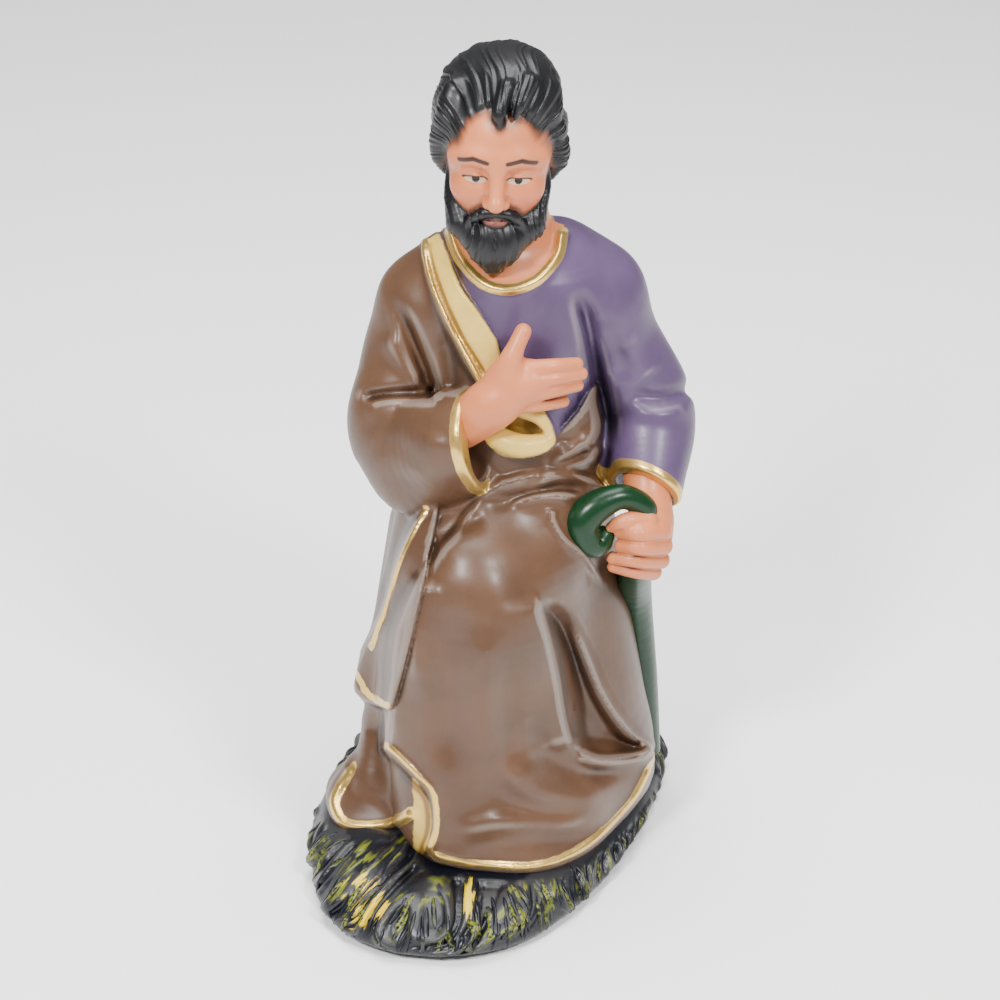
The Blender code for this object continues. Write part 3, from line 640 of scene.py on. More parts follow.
SLEEVE_RIGHT = ((-8.6, -7.2, 56.1), (-1.2, -9.6, 57.7))  # the run of the mantle's sleeve to its mouth
SLEEVE_LEFT = ((20.7, 2.0, 52.1), (17.6, -4.0, 47.8))  # the run of the tunic's sleeve to its mouth


def past(points, run):
    """How far points lie past the end of a run of two places, along it."""
    start, end = (np.array(place, np.float32) for place in run)
    along = (end - start) / np.linalg.norm(end - start)
    return (points - end) @ along


HOLLOW_RIGHT = ball((-1.0, -9.8, 57.4), (2.8, 3.8, 4.6), (0, 10, 18))
HOLLOW_LEFT = ball((17.6, -4.2, 47.8), (3.4, 3.4, 2.8), (-50, 37, 0))


def mass_robes(clay):
    """The body under its cloth."""
    clay.add(trunk(BODY_SECTIONS), 1.0)
    # the raised knee and the cloth down its shin
    clay.add(tube([(-2.3, -9, 41.6), (-1.8, -12.2, 39.2), (-4.4, -12, 24.5), (-3.3, -13, 11.1)],
                  [6.8, 6.9, 7.4, 8.0]), 3.0)
    # the kneeling leg and the foot behind it
    clay.add(tube([(7.4, 2, 40), (8.4, -1, 24), (9.2, -2, 12)], [6.2, 7.0, 8.2]), 3.0)
    clay.add(tube([(10, 0, 11), (8, 10, 10), (6, 18, 9)], [7.0, 6.0, 4.6]), 4.0)
    # the mantle that falls down the side
    clay.add(tube([(-8.2, 4, 39.5), (-9.9, 4, 28.5), (-10.8, 2, 22.6), (-11.2, 0, 13.8)],
                  [3.2, 3.2, 3.0, 3.2]), 3.0)
    clay.add(tube([(-9.2, -3, 32.7), (-11.6, -4.5, 26.0), (-13.5, -5.5, 22.3)], [3.4, 2.4, 1.6]), 2.0)
    # the robe that spreads over the foot
    clay.add(tube([(-11.0, -3, 13.6), (-12.6, -6, 8.4), (-14.5, -7.5, 5.1)], [4.0, 4.4, 3.2]), 3.0)
    clay.add(tube([(-15.6, -3.8, 8.8), (-17.7, -6.2, 6.8), (-16.6, -9.5, 6.2), (-12.6, -10.4, 6.4),
                   (-9.1, -9.1, 7.2)], [2.4, 1.9, 1.7, 1.7, 1.9]), 1.6)
    clay.add(ball((-14.1, -2.1, 5), (6.0, 6.0, 3.6)), 2.0)


BACK_FOLDS = ((-7, -0.9), (-3.5, 0.7), (0, -1.1), (4, 0.8), (8, -0.9))  # x, and height of the fold
BACK_FOLD_WIDTH = 1.6
BACK_FOLD_START = 1  # the y where the folds of the back begin
BACK_FOLD_RISE = 4  # hundredths over which they rise behind it
BACK_FOLD_ENDS = 0.2  # share of the length over which they die away
POCKET = ((6.3, 37.3), (7.9, 32.9), (8.9, 27.7), (9.8, 23.1), (12.5, 22.2), (16.4, 22.4), (14.2, 25.0),
          (12.0, 28.5), (10.1, 32.9), (8.1, 36.6))


def fold_robes(clay):
    """The cloth laid on the body, and its folds."""
    # the lapel of the lining, with its rolled outer edge
    clay.layer(LAPEL, 0.8, edge=0.45)
    clay.fold(LAPEL_EDGE, 0.5, 0.55, ends=(0.02, 0.02))
    clay.fold(LAPEL_GROOVE, 0.4, -0.5, ends=(0.05, 0.05))
    # its turned roll under the hand, open like a cup at its end
    clay.add(tube([(-1.3, -8.6, 58.4), (0.9, -10.4, 58.0), (3.3, -11.2, 57.5), (5.7, -10.8, 57.5)],
                  [1.2, 1.3, 1.35, 1.1]), 0.6)
    clay.add(tube([(5.7, -10.8, 57.6), (6.7, -10.4, 58.4), (5.7, -9.8, 60.2), (3.3, -9.6, 61.4)],
                  [1.1, 0.8, 0.9, 1.0]), 0.5)
    # the mantle gathered up to its point beside the arm
    clay.edge(WAIST_EDGE, 1.0, 6.0, soft=0.35)
    clay.fold([(12.7, 60.7), (11.6, 56.9), (9.0, 55.0), (6.3, 53.9)], 1.1, 0.9, lean=0.4)
    clay.fold([(12.7, 55.4), (10.4, 54.1), (7.4, 52.9), (4.4, 51.0)], 1.1, 1.1, lean=0.4)
    clay.fold([(12.0, 55.3), (9.3, 54.1), (6.3, 52.5), (3.3, 51.3)], 0.7, -0.6)
    clay.fold([(11.1, 50.6), (7.7, 50.9), (3.3, 49.9), (-0.4, 48.6)], 1.0, -0.8)
    clay.fold([(10.7, 49.6), (7.2, 50.1), (4.3, 49.7), (1.7, 48.7)], 0.55, 0.7, lean=-0.3)
    clay.fold([(-0.2, 47.8), (-3.3, 46.4), (-5.9, 45.0)], 0.9, -0.45)
    clay.fold([(1.1, 52.8), (-1.1, 50.6), (-4.4, 48.2)], 1.3, 0.5)
    # the hollow in the cloth that takes the end of the crook, and its lip
    clay.cut(ball((11.3, -10.5, 47.7), (3.2, 2.6, 3.2)), 0.5)
    clay.fold([(6.9, 48.6), (6.8, 47.3), (8.2, 45.0), (10.7, 43.0), (12.7, 39.7)], 0.5, 0.5,
              ends=(0.1, 0.2))
    # the front over the knee, its overlapping left edge, and the corner of cloth at the side
    clay.layer(FRONT_CLOTH, 1.0, edge=1.3)
    clay.layer(SIDE_CLOTH, 1.0, edge=0.5)
    clay.fold([(-4.6, 44.6), (-7.0, 42.7), (-9.4, 38.6), (-11.1, 34.2)], 1.5, -0.6)
    clay.fold([(-6.6, 41.3), (-7.7, 38.6), (-8.3, 33.1), (-8.5, 27.1)], 1.6, 1.2)
    clay.fold(SIDE_TRIM, 0.5, 0.45, ends=(0.05, 0.05))
    clay.fold(HEM_CORNER, 0.55, 0.8, ends=(0.05, 0.05))
    clay.fold(HEM_FRONT, 0.6, 0.6, ends=(0.05, 0.05))
    clay.fold(UNDER_HEM, 0.6, 0.5, ends=(0.05, 0.05))
    clay.fold([(-12.9, 26.0), (-12.0, 22.7), (-12.9, 17.8)], 1.2, -0.6)
    # long soft folds down the front
    clay.fold([(-1.3, 42.3), (1.1, 38.6), (2.8, 32.0), (4.2, 25.5)], 2.0, 0.5, ends=(0.5, 0.3))
    clay.fold([(-3.5, 39.0), (-4.6, 28.7), (-4.8, 18.9)], 2.0, -0.9)
    clay.fold([(-0.2, 36.4), (-0.7, 27.7), (0.0, 18.9)], 1.8, 0.6)
    clay.fold([(2.2, 34.2), (2.0, 25.5), (3.7, 18.9)], 1.5, -0.6)
    clay.fold([(-6.1, 34.2), (-6.8, 25.5), (-6.3, 16.7)], 1.4, 0.5)
    # the deep pocket between its two ridges, down to the swag
    clay.layer(POCKET, -2.3, back=4, edge=3.0)
    clay.edge([(9.2, 22.2), (8.2, 25.8), (7.5, 30.3), (6.4, 35.1), (5.1, 39.9)], 1.0, 3.2, soft=1.0)
    clay.fold([(8.3, 37.3), (10.3, 32.5), (12.3, 27.9), (15.1, 24.0), (18.0, 22.0)], 1.0, 1.0,
              lean=0.5, ends=(0.3, 0.05))
    clay.fold([(9.4, 22.0), (12.0, 21.1), (15.1, 21.4), (18.0, 22.1)], 0.9, 1.0, lean=0.5,
              ends=(0.25, 0.05))
    clay.fold([(4.0, 25.9), (5.5, 23.1), (7.2, 21.1), (10.9, 19.8), (17.3, 20.4)], 1.4, -0.9)
    clay.fold([(1.6, 23.3), (3.5, 19.1), (6.6, 17.0), (10.9, 16.9), (16.0, 18.9)], 1.5, 0.7)
    clay.fold([(-0.4, 20.0), (1.7, 16.7), (5.5, 15.1), (10.9, 15.6)], 1.5, -0.6)
    clay.fold([(-5.5, 12.6), (-1.1, 13.9), (3.9, 14.5), (9.1, 14.3), (13.8, 15.8)], 1.2, 0.7)
    clay.fold([(-3.7, 11.3), (1.1, 12.1), (7.7, 12.6), (12.5, 14.1)], 1.3, -0.4)
    # the fall of the mantle at the back
    for side, height in BACK_FOLDS:
        fold_behind(clay, [(side + 3, 70), (side + 1, 50), (side * 1.4, 30), (side * 1.9, 10)],
                    BACK_FOLD_WIDTH, height)


def fold_behind(clay, path, width, height):
    """A fold drawn on the back, by x and height."""
    line = smooth_path(path)
    low, high = line.min(axis=0) - 3 * width, line.max(axis=0) + 3 * width
    points = clay.points
    at = np.flatnonzero((points[:, 0] > low[0]) & (points[:, 0] < high[0]) & (points[:, 2] > low[1])
                        & (points[:, 2] < high[1]) & (points[:, 1] > BACK_FOLD_START)
                        & (np.abs(clay.gap) < FIELD_BAND))
    gap, _, share = to_line(points[at][:, [0, 2]], line)
    fade = ramp(share / BACK_FOLD_ENDS) * ramp((1 - share) / BACK_FOLD_ENDS)
    fade *= ramp((points[at, 1] - BACK_FOLD_START) / BACK_FOLD_RISE)
    clay.gap[at] -= height * np.exp(-(gap / width) ** 2) * fade


MOUTH_BLEND = 0.5  # hundredths: the rounding of a sleeve's mouth
HOLLOW_BLEND = 0.35  # hundredths: the rounding of the hollow's rim
SLEEVE_BLEND = 1.2  # hundredths: how softly a sleeve joins the body


def sleeve(clay, tubes, run, hollow):
    """A sleeve of melted tubes, cut square at the end of its run and hollowed there."""
    apart = clay.blank()
    for path, radii, softness in tubes:
        apart.add(tube(path, radii), softness)
    apart.gap = -melt(-apart.gap, -past(clay.points, run), MOUTH_BLEND)
    apart.cut(hollow, HOLLOW_BLEND)
    clay.gap = melt(clay.gap, apart.gap, SLEEVE_BLEND)


def mass_tunic_arm(clay):
    sleeve(clay, (([(11.4, 3, 68.3), (14.4, 3.4, 62.9), (17.7, 3, 56.7), (18.5, 1, 53.4),
                    (18.2, -3.2, 49.9), (17.4, -6.4, 47.2)],
                   [6.0, 5.4, 5.4, 5.2, 4.3, 4.2], 1.0),
                  ([(7.9, 2, 71.0), (11.3, 2.5, 68.7)], [6.2, 5.6], 3.0),
                  ([(12.3, 3, 56.0), (13.5, 1, 47.9)], [3.2, 3.0], 1.5)), SLEEVE_LEFT, HOLLOW_LEFT)


def mass_mantle_arm(clay):
    sleeve(clay, (([(-3.7, 2, 69.7), (-6.3, 2, 68.2)], [6.2, 6.0], 1.0),
                  ([(-6.8, 2, 68.6), (-8.7, 1.5, 62.9), (-9.7, -0.6, 56.5)], [5.9, 5.8, 6.2], 1.6),
                  ([(-9.8, -1.5, 56.7), (-7.7, -4.4, 54.7), (-4.3, -8.4, 56.7), (-1.9, -10.2, 58.2),
                    (0.7, -11, 58.9)], [6.0, 6.2, 5.6, 5.0, 4.8], 1.6),
                  ([(-10.3, -2, 53.4), (-8.0, -5, 50.1), (-2.2, -9.5, 53.8), (0.2, -10.5, 54.3)],
                   [5.4, 4.5, 2.8, 2.2], 2.2)),
           SLEEVE_RIGHT, HOLLOW_RIGHT)


def fold_sleeves(clay):
    clay.fold(COLLAR, 0.6, 0.7, ends=(0.01, 0.01))
    # the sleeve of the mantle: the crease in front of the shoulder, and the one at the bend of the arm
    clay.fold([(-11.1, 72.2), (-9.6, 69.6), (-8.2, 66.3), (-7.0, 62.7), (-5.9, 61.1)], 0.9, -1.2,
              ends=(0.4, 0.02))
    clay.fold([(-14.2, 60.2), (-12.9, 60.8), (-10.1, 61.2), (-6.1, 61.2)], 0.7, -1.1, ends=(0.4, 0.02))
    clay.fold([(-11.4, 68.1), (-10.3, 65.7), (-8.7, 63.5), (-7.2, 62.4)], 1.0, 0.6)
    clay.fold([(-14.0, 58.9), (-10.3, 59.8), (-5.5, 60.2)], 1.5, 0.4)
    clay.fold([(-5.0, 69.2), (-4.4, 65.7), (-3.8, 61.3)], 1.2, -1.0, ends=(0.5, 0.1))
    clay.fold([(-9.4, 51.7), (-7.2, 54.4), (-5.5, 57.2)], 1.6, 0.4)
    clay.fold([(-12.9, 56.1), (-9.8, 54.8), (-6.6, 52.1)], 1.8, -0.35)
    # the sleeve of the tunic
    clay.fold([(9.3, 73.0), (10.9, 68.1), (12.5, 60.4), (12.7, 55.0)], 1.0, -1.4)
    clay.fold([(14.8, 61.3), (18.6, 60.7), (22.3, 61.7)], 0.9, -0.7, ends=(0.3, 0.05))
    clay.fold([(14.4, 59.8), (18.8, 58.9), (22.4, 59.8)], 1.0, 0.5)
    clay.fold([(14.0, 68.1), (16.4, 64.8), (18.0, 62.8)], 1.5, 0.5)
    clay.fold([(12.0, 69.7), (14.0, 65.9), (14.9, 62.1)], 1.2, -0.5)


def work_robes(clay):
    mass_robes(clay)
    fold_robes(clay)
    mass_tunic_arm(clay)
    mass_mantle_arm(clay)
    # the shoulders and the root of the neck
    clay.add(tube([(7.9, 3, 73.9), (11.5, 3, 70.6)], [4.2, 4.6]), 3.0)
    clay.add(tube([(-4.5, 2, 73.1), (-6.8, 2, 69.4)], [3.6, 4.0]), 3.0)
    clay.add(tube([(2, 1.5, 73), (1.6, 0.4, 82)], [5.9, 4.6]), 1.4)
    fold_sleeves(clay)


# The head, in its own frame: the eyes at height 0, the face towards -y

HEAD_MIDDLE = (1.0, -1.5, 88.7)
HEAD_TURN = (6, 2, -2)  # degrees: bowed, leaning and turned a little
NECK = ((0, 1.5, -5), (0.6, 2.4, -12))
NECK_RADII = (4.4, 4.8)


def head_spin():
    """The turn of the head as a matrix."""
    return np.array(Euler([math.radians(turn) for turn in HEAD_TURN]).to_matrix(), np.float32)


def work_face(clay):
    clay.add(ball((0, 0.8, 2.4), (6.1, 7.6, 6.4)), 1.0)
    clay.add(ball((0, -1.8, -2.4), (5.0, 4.8, 6.8)), 2.2)
    clay.add(limb(*NECK, *NECK_RADII), 1.5)
    for side in (-1, 1):
        clay.add(ball((side * 3.1, -4.35, -2.2), (1.8, 1.5, 1.5)), 1.6)
        clay.add(ball((side * 5.9, 0.9, -0.8), (0.9, 1.5, 2.1)), 0.6)
    clay.add(tube([(-4.5, -4.2, 1.3), (-2.6, -5.7, 2.1), (0, -6.0, 1.9), (2.6, -5.7, 2.1),
                   (4.5, -4.2, 1.3)], 0.8), 1.4)
    for side in (-1, 1):
        # the socket, the eyeball, and the lids that half cover it
        clay.cut(ball((side * 2.4, -6.9, -0.1), (1.75, 1.2, 1.05)), 1.0)
        clay.add(ball((side * 2.35, -4.6, -0.2), (1.45, 1.25, 1.15)), 0.2)
        clay.add(ball((side * 2.35, -4.72, 0.35), (1.55, 1.3, 0.9), (-12, 0, 0)), 0.15)
        clay.add(tube([(side * 1.0, -5.45, -0.25), (side * 1.7, -5.85, 0.0), (side * 2.5, -5.95, 0.05),
                       (side * 3.7, -4.95, -0.35)], [0.12, 0.2, 0.22, 0.14]), 0.2)
        clay.add(tube([(side * 1.1, -5.4, -0.5), (side * 2.3, -5.75, -1.0), (side * 3.6, -4.9, -0.6)],
                      [0.12, 0.18, 0.12]), 0.3)
    clay.add(limb((0, -6.0, 1.4), (0, -7.7, -2.3), 0.6, 0.85), 0.9)
    clay.add(ball((0, -7.8, -2.6), (0.9, 0.9, 0.78)), 0.5)
    for side in (-1, 1):
        clay.add(ball((side * 0.92, -7.05, -2.85), (0.55, 0.75, 0.52)), 0.35)
        clay.cut(ball((side * 0.48, -7.55, -3.3), (0.26, 0.42, 0.22)), 0.2)
    clay.add(ball((0, -6.3, -4.7), (1.7, 0.95, 0.9)), 0.8)
    clay.add(ball((0, -6.85, -5.15), (1.2, 0.6, 0.45)), 0.3)
    clay.add(ball((0, -6.95, -4.5), (1.15, 0.5, 0.32)), 0.3)
    clay.cut(tube([(-1.5, -6.55, -4.7), (0, -7.45, -4.8), (1.5, -6.55, -4.7)], 0.12), 0.12)


STRAND_DEPTH = 0.22  # hundredths: how deep the comb has cut into the hair


def comb(clay, across, along, seed):
    """Locks and strands cut into what is there, running along one measure and parted by the other."""
    at = np.flatnonzero(np.abs(clay.gap) < 2)
    across, along = across[at], along[at]
    flat = np.zeros_like(across)
    locks = lumps(np.column_stack([0.7 * across, along / 7, flat]), seed)
    strands = lumps(np.column_stack([2.2 * across, along / 6, flat + 1]), seed + 1)
    clay.gap[at] -= STRAND_DEPTH * (0.7 - 1.1 * np.abs(locks) - 0.8 * np.abs(strands))


def work_beard(clay):
    clay.add(ball((0, -4.3, -7.6), (4.1, 3.3, 3.0)), 1.0)
    clay.add(ball((0, -5.9, -8.2), (2.9, 2.2, 2.9)), 1.2)
    for side in (-1, 1):
        clay.add(limb((side * 0.8, -6.2, -9.6), (side * 0.55, -6.3, -11.0), 1.3, 0.7), 0.8)
        clay.add(tube([(side * 4.9, -1.2, -0.6), (side * 4.75, -2.4, -3.6), (side * 3.7, -4.0, -6.6)],
                      [0.6, 1.0, 1.8]), 1.2)
        clay.add(tube([(side * 0.25, -7.2, -3.85), (side * 1.5, -6.95, -4.2), (side * 2.6, -6.1, -5.4),
                       (side * 2.9, -5.6, -6.9)], [0.4, 0.55, 0.55, 0.4]), 0.4)
    clay.add(ball((0, -6.7, -6.3), (0.9, 0.7, 0.7)), 0.5)
    x, y, z = clay.points.T
    comb(clay, 1.1 * x + 0.25 * y + 0.3 * np.sin(1.1 * z + np.sign(x)), z, 31)


def work_hair(clay):
    clay.add(ball((-0.6, 3.3, 3.6), (6.9, 8.8, 6.6)), 0.6)
    clay.add(ball((1.3, 1.8, 6.2), (5.2, 6.8, 4.8)), 1.5)
    for side in (-1, 1):
        clay.add(tube([(side * 5.0, -0.6, 7.4), (side * 5.7, -1.3, 4.4), (side * 6.2, 0.2, 1.4),
                       (side * 6.2, 1.0, -1.0), (side * 5.5, 0.9, -2.8)],
                      [1.2, 1.1, 1.3, 1.4, 1.0]), 1.2)
        clay.add(tube([(side * 4.4, 4.5, 1.0), (side * 3.0, 5.0, -3.5)], [3.0, 2.4]), 1.5)
    clay.add(tube([(0, 6.0, 0), (0, 5.4, -4.5)], [4.2, 3.6]), 1.5)
    # the forelock, and nothing else hanging over the forehead
    clay.cut(ball((0, -7.6, 3.4), (5.3, 5.2, 5.4)), 0.8)
    clay.add(tube([(0.1, -5.5, 6.0), (-0.1, -5.3, 7.2), (0.9, -3.6, 9.2)], [0.35, 0.75, 0.9]), 0.8)
    clay.add(tube([(1.6, -5.3, 7.0), (2.2, -4.4, 8.4), (3.0, -2.4, 9.6)], [0.4, 0.7, 0.8]), 0.8)
    x, y, z = clay.points.T
    turn = np.arctan2(x - 1.2 * ramp(z / 8), z - 1.0 + 0.9 * np.maximum(y - 2, 0))
    comb(clay, 9.0 * turn + 0.5 * np.sin(0.6 * y), y + 0.4 * z, 21)


def work_head(clay):
    work_face(clay)
    beard, hair = clay.blank(), clay.blank()
    work_beard(beard)
    work_hair(hair)
    clay.gap = melt(melt(clay.gap, beard.gap, 0.35), hair.gap, 0.5)


# The hands

def work_breast_hand(clay):
    # the wrist and the back of the hand
    clay.add(tube([(-3.1, -9.4, 59.2), (-1.3, -10.6, 61.1), (0.4, -11.4, 62.9)], [2.7, 2.75, 2.6]), 0.8)
    clay.add(tube([(0.2, -11.2, 62.7), (2.4, -11.4, 64.5), (4.4, -11.3, 65.3)], [2.5, 2.5, 2.0]), 1.5)
    clay.add(ball((3.1, -11.3, 65.9), (3.4, 1.5, 2.4), (0, 10, 0)), 1.4)
    # the thumb
    clay.add(tube([(1.4, -11.2, 65.0), (2.1, -11.9, 67.9), (2.8, -11.6, 69.8), (3.6, -10.8, 71.3)],
                  [1.6, 1.35, 1.0, 0.92]), 1.0)
    # the fingers, from the first to the little one
    for root, joint, tip, size in (
            ((3.9, -11.5, 67.0), (6.9, -11.4, 67.4), (9.5, -10, 67.0), 0.86),
            ((4.2, -11.8, 65.7), (7.2, -11.7, 66.1), (10.0, -10, 65.8), 0.86),
            ((4.2, -11.8, 64.2), (7.0, -11.6, 64.6), (9.6, -10, 64.4), 0.84),
            ((3.7, -11.4, 62.8), (5.9, -11.2, 62.7), (8.1, -10, 62.4), 0.80)):
        clay.add(tube([root, joint, tip], [size + 0.25, size, size - 0.12]), 0.3)


def work_fist(clay):
    # the wrist and the back of the hand
    clay.add(tube([(17.9, -3.2, 50.1), (18.1, -5, 48.3), (18.5, -6.2, 45.8)], [2.7, 2.6, 2.5]), 0.8)
    clay.add(ball((18.3, -6.8, 43.5), (2.6, 2.2, 3.3), (0, -10, 0)), 1.4)
    # the fingers, closed round the crook
    for tip, bend, knuckle, size in (
            ((14.9, -9.2, 45.4), (17.0, -10.4, 45.9), (19.5, -8, 44.8), 1.05),
            ((14.9, -9.6, 43.8), (17.1, -10.6, 44.2), (19.8, -8, 42.9), 0.98),
            ((14.0, -9.4, 42.1), (16.7, -10.2, 42.3), (19.6, -7.6, 40.8), 0.92),
            ((14.1, -9, 40.7), (16.5, -9.6, 40.5), (18.8, -7.4, 39.1), 0.86)):
        clay.add(tube([tip, bend, knuckle], [size - 0.18, size, size + 0.15]), 0.25)
    clay.add(tube([(13.7, -9.2, 46.0), (15.2, -9.8, 47.1), (17.7, -8.6, 46.6)], [0.6, 0.95, 1.3]), 0.4)
    clay.add(ball((15.7, -7.6, 45.3), (2.2, 1.2, 1.3)), 0.5)


# The mound of straw

STRAW_DEPTH = 0.65  # hundredths
MOUND_REACHES = (20.2, 25.2, 26.0, 25.0, 24.0, 20.6, 20.8, 25.0, 31.2, 29.2, 22.4, 19.2)
MOUND_LEVELS = ((0, -1.4), (1.5, 0), (3.4, -0.7), (5.2, -2.8), (6.8, -6.5))  # height, change of reach
MOUND_TURNS = 128  # knots of noise round the mound: a whole number of its repeats, so that the ring closes
SMOOTH_BAND = 1.1  # hundredths: the width of plain plaster along the robe's hem
SLOPE = 0.45  # how much the way down counts outwards
LEAN_SHARE = 0.8  # how much of its lean a straw takes on each hundredth down the slope
STRAW_CLEAR = 1.6  # hundredths that the single straws keep from the robes and from the plain band
STRAW_HEIGHTS = (2.2, 5.4)  # the lowest and the highest that they lie


def mound_turn(points):
    """How far round the mound points lie, from 0 at the left by the front to 1."""
    return np.arctan2(points[:, 1], points[:, 0]) / (2 * math.pi) + 0.5


def running(points):
    """How far down the slope points lie, and how far round among the leaning straws."""
    down = points[:, 2] - SLOPE * np.hypot(points[:, 0], points[:, 1])
    return down, mound_turn(points) * MOUND_TURNS - straw_lean(points) * down * LEAN_SHARE


def straw_lean(points):
    """How far the straw leans out of the slope: upright at the front, lying over at the right."""
    turn = mound_turn(points) * 4
    wander = lumps(np.column_stack([mound_turn(points) * 32, points[:, 2] / 5,
                                    np.full(len(points), 7)]), 5)
    return 0.2 + 1.0 * ramp((turn - 1.05) / 0.8) * ramp((3.2 - turn) / 0.6) + 0.55 * wander


def straw_ridges(points):
    """Bundles of straw that run down the side, between -1 and 1."""
    down, leaning = running(points)
    blades = lumps(np.column_stack([leaning, down / 5, np.zeros_like(down)]), 11)
    fine = lumps(np.column_stack([2 * leaning, down / 3, np.ones_like(down)]), 12)
    return np.clip(1.5 * blades + 0.5 * fine, -1, 1)


def hem_distance(points):
    """How far points lie from the robe's hems on the drawing."""
    seen = np.column_stack(drawn(points))
    front = to_line(seen, smooth_path(HEM_FRONT))[0]
    under = to_line(seen, smooth_path(UNDER_HEM))[0]
    return np.where(points[:, 1] < 4, np.minimum(front, under), 3)


def mass_mound(clay):
    clay.add(trunk([(level, 0, 0, [reach + change for reach in MOUND_REACHES])
                    for level, change in MOUND_LEVELS]), 0.8)


def work_mound(clay):
    mass_mound(clay)
    at = np.flatnonzero(np.abs(clay.gap) < 6)
    points = clay.points[at]
    calm = ramp((points[:, 2] - 0.8) / 2.0) * ramp((hem_distance(points) - SMOOTH_BAND) / 1.2)
    clay.gap[at] += STRAW_DEPTH * (0.2 - straw_ridges(points)) * calm


# The crook

CROOK_PATH = ((19.6, 7, 5.0), (18.6, 4.6, 16.7), (17.2, 1, 30.3), (16.9, -5.5, 39.6),
              (17.7, -7.4, 46.2), (17.1, -8, 48.3), (14.8, -8.6, 49.6), (11.9, -9.2, 48.6),
              (10.3, -9.6, 46.6), (11.3, -9.5, 44.4), (12.4, -9.2, 44.1), (13.1, -8.9, 44.9))
CROOK_RADII = (1.8, 2.0, 2.15, 1.9, 1.5, 1.4, 1.45, 1.9, 2.1, 1.9, 1.6, 1.2)
CROOK_SIDES = 40
CROOK_SPACING = 0.25  # hundredths, from ring to ring of its mesh
CROOK_END_TURNS = (25, 50, 70, 84)  # degrees: where the rounding of its tip has a ring
CROOK_END_LENGTH = 0.8  # of the tip's radius


# Where each paint lies: distances from its border, negative where it is laid

CHEST = ((-4.7, 80.3), (-3.8, 76.3), (-1.6, 70.8), (0.9, 66.1), (3.8, 60.4), (6.3, 56.4), (7.2, 56.5),
         (9.5, 59.0), (11.1, 61.7), (12.5, 62.8), (13.3, 61.7), (14.4, 60.2), (18.6, 58.3),
         (25.1, 60.4), (25.1, 82.3), (12.0, 85.6))
ROLL = ((-1.3, 60.7), (-1.1, 57.2), (0.0, 55.4), (1.4, 54.4), (3.8, 54.1), (6.2, 54.8), (7.2, 56.1),
        (6.6, 57.8), (5.7, 59.6), (3.8, 60.4))
THROAT = ((-4.8, 79.7), (-3.4, 76.0), (-0.8, 73.2), (2.2, 72.5), (5.2, 73.6), (7.3, 76.2), (8.0, 79.0),
          (7.1, 87.8), (-3.8, 87.8))
HEM_LINING = ((-8.4, 19.1), (-7.2, 17.4), (-6.4, 15.4), (-6.6, 12.8), (-7.4, 10.8), (-8.3, 11.4),
              (-8.3, 15.4))
FRONT_END = 1.5  # the y that parts what is drawn on the front from what is given by height
BACK_EDGE = ((13.0, 52.0), (-1.5, 79.0))  # x and z of the ends of the mantle's edge across the back
BACK_EDGE_HALF = 0.4  # half the width of its gilding
COLLAR_HEIGHT = 79.6  # of the collar behind the neck
COLLAR_FOOT = 70  # no part of the collar lies lower
THROAT_FOOT = 74  # nor of the bare throat
COLLAR_WIDTH = 1.25
YELLOW_DABS = (  # where the brush left bright yellow: middle across and up, then half widths
    (-13.6, 5.6, 2.4, 3.0), (-2.6, 6.0, 1.1, 2.6))
HEM_BANDS = ((SIDE_TRIM, 0.8), (HEM_CORNER, 0.9), (HEM_FRONT, 1.3), (SIDE_HEM, 1.0), (UNDER_HEM, 1.6))
CUFF_RIGHT = 1.15  # hundredths: the widths of the gilt bands
CUFF_LEFT = 0.95
CUFF_INSIDE = 0.3  # hundredths: how far the gilding reaches into the mouth of a sleeve
BAND_CLOSE = 0.35  # hundredths on the drawing: the points of the skin that a band's middle is read from
BAND_DEPTH = 0.4  # hundredths behind the foremost of them that still count
BAND_JUMP = 1.5  # hundredths: a place that lies further off than this from its neighbours is left out


def inside_outline(points, seen, outline, back=2.0):
    """Distance from a closed border on the drawing, for what lies in front of back."""
    gap = to_outline(seen, smooth_path(outline, closed=True))
    return np.maximum(gap, points[:, 1] - back)


def painted_band(points, seen, line, width):
    """Distance from a band of paint of one width on the skin, whose middle is drawn along a line."""
    toward = points[:, 2] * math.sin(LOOK_DOWN) - points[:, 1] * math.cos(LOOK_DOWN)
    middle, depth = [], []
    for place in smooth_path(line, steps=6):
        close = np.flatnonzero(np.abs(seen - place).max(axis=1) < BAND_CLOSE)
        if len(close):
            depth.append(toward[close].max())
            middle.append(points[close[toward[close] > depth[-1] - BAND_DEPTH]].mean(axis=0))
    around = np.pad(depth, 3, mode="edge")
    usual = np.median([around[shift:shift + len(depth)] for shift in range(7)], axis=0)
    middle = np.array(middle)[np.abs(depth - usual) < BAND_JUMP]
    return to_line(points, middle)[0] - width / 2


def neck_gap(points):
    """How far points lie from the neck."""
    start, end = (head_spin() @ np.array(place) + HEAD_MIDDLE for place in NECK)
    return limb(start, end, *NECK_RADII)[2](points)


def cuff(points, run, width, hollow, arm, body):
    """Distance from the gilt band at the mouth of a sleeve."""
    return np.maximum.reduce([-width - past(points, run), arm - body, CUFF_INSIDE - hollow[2](points)])


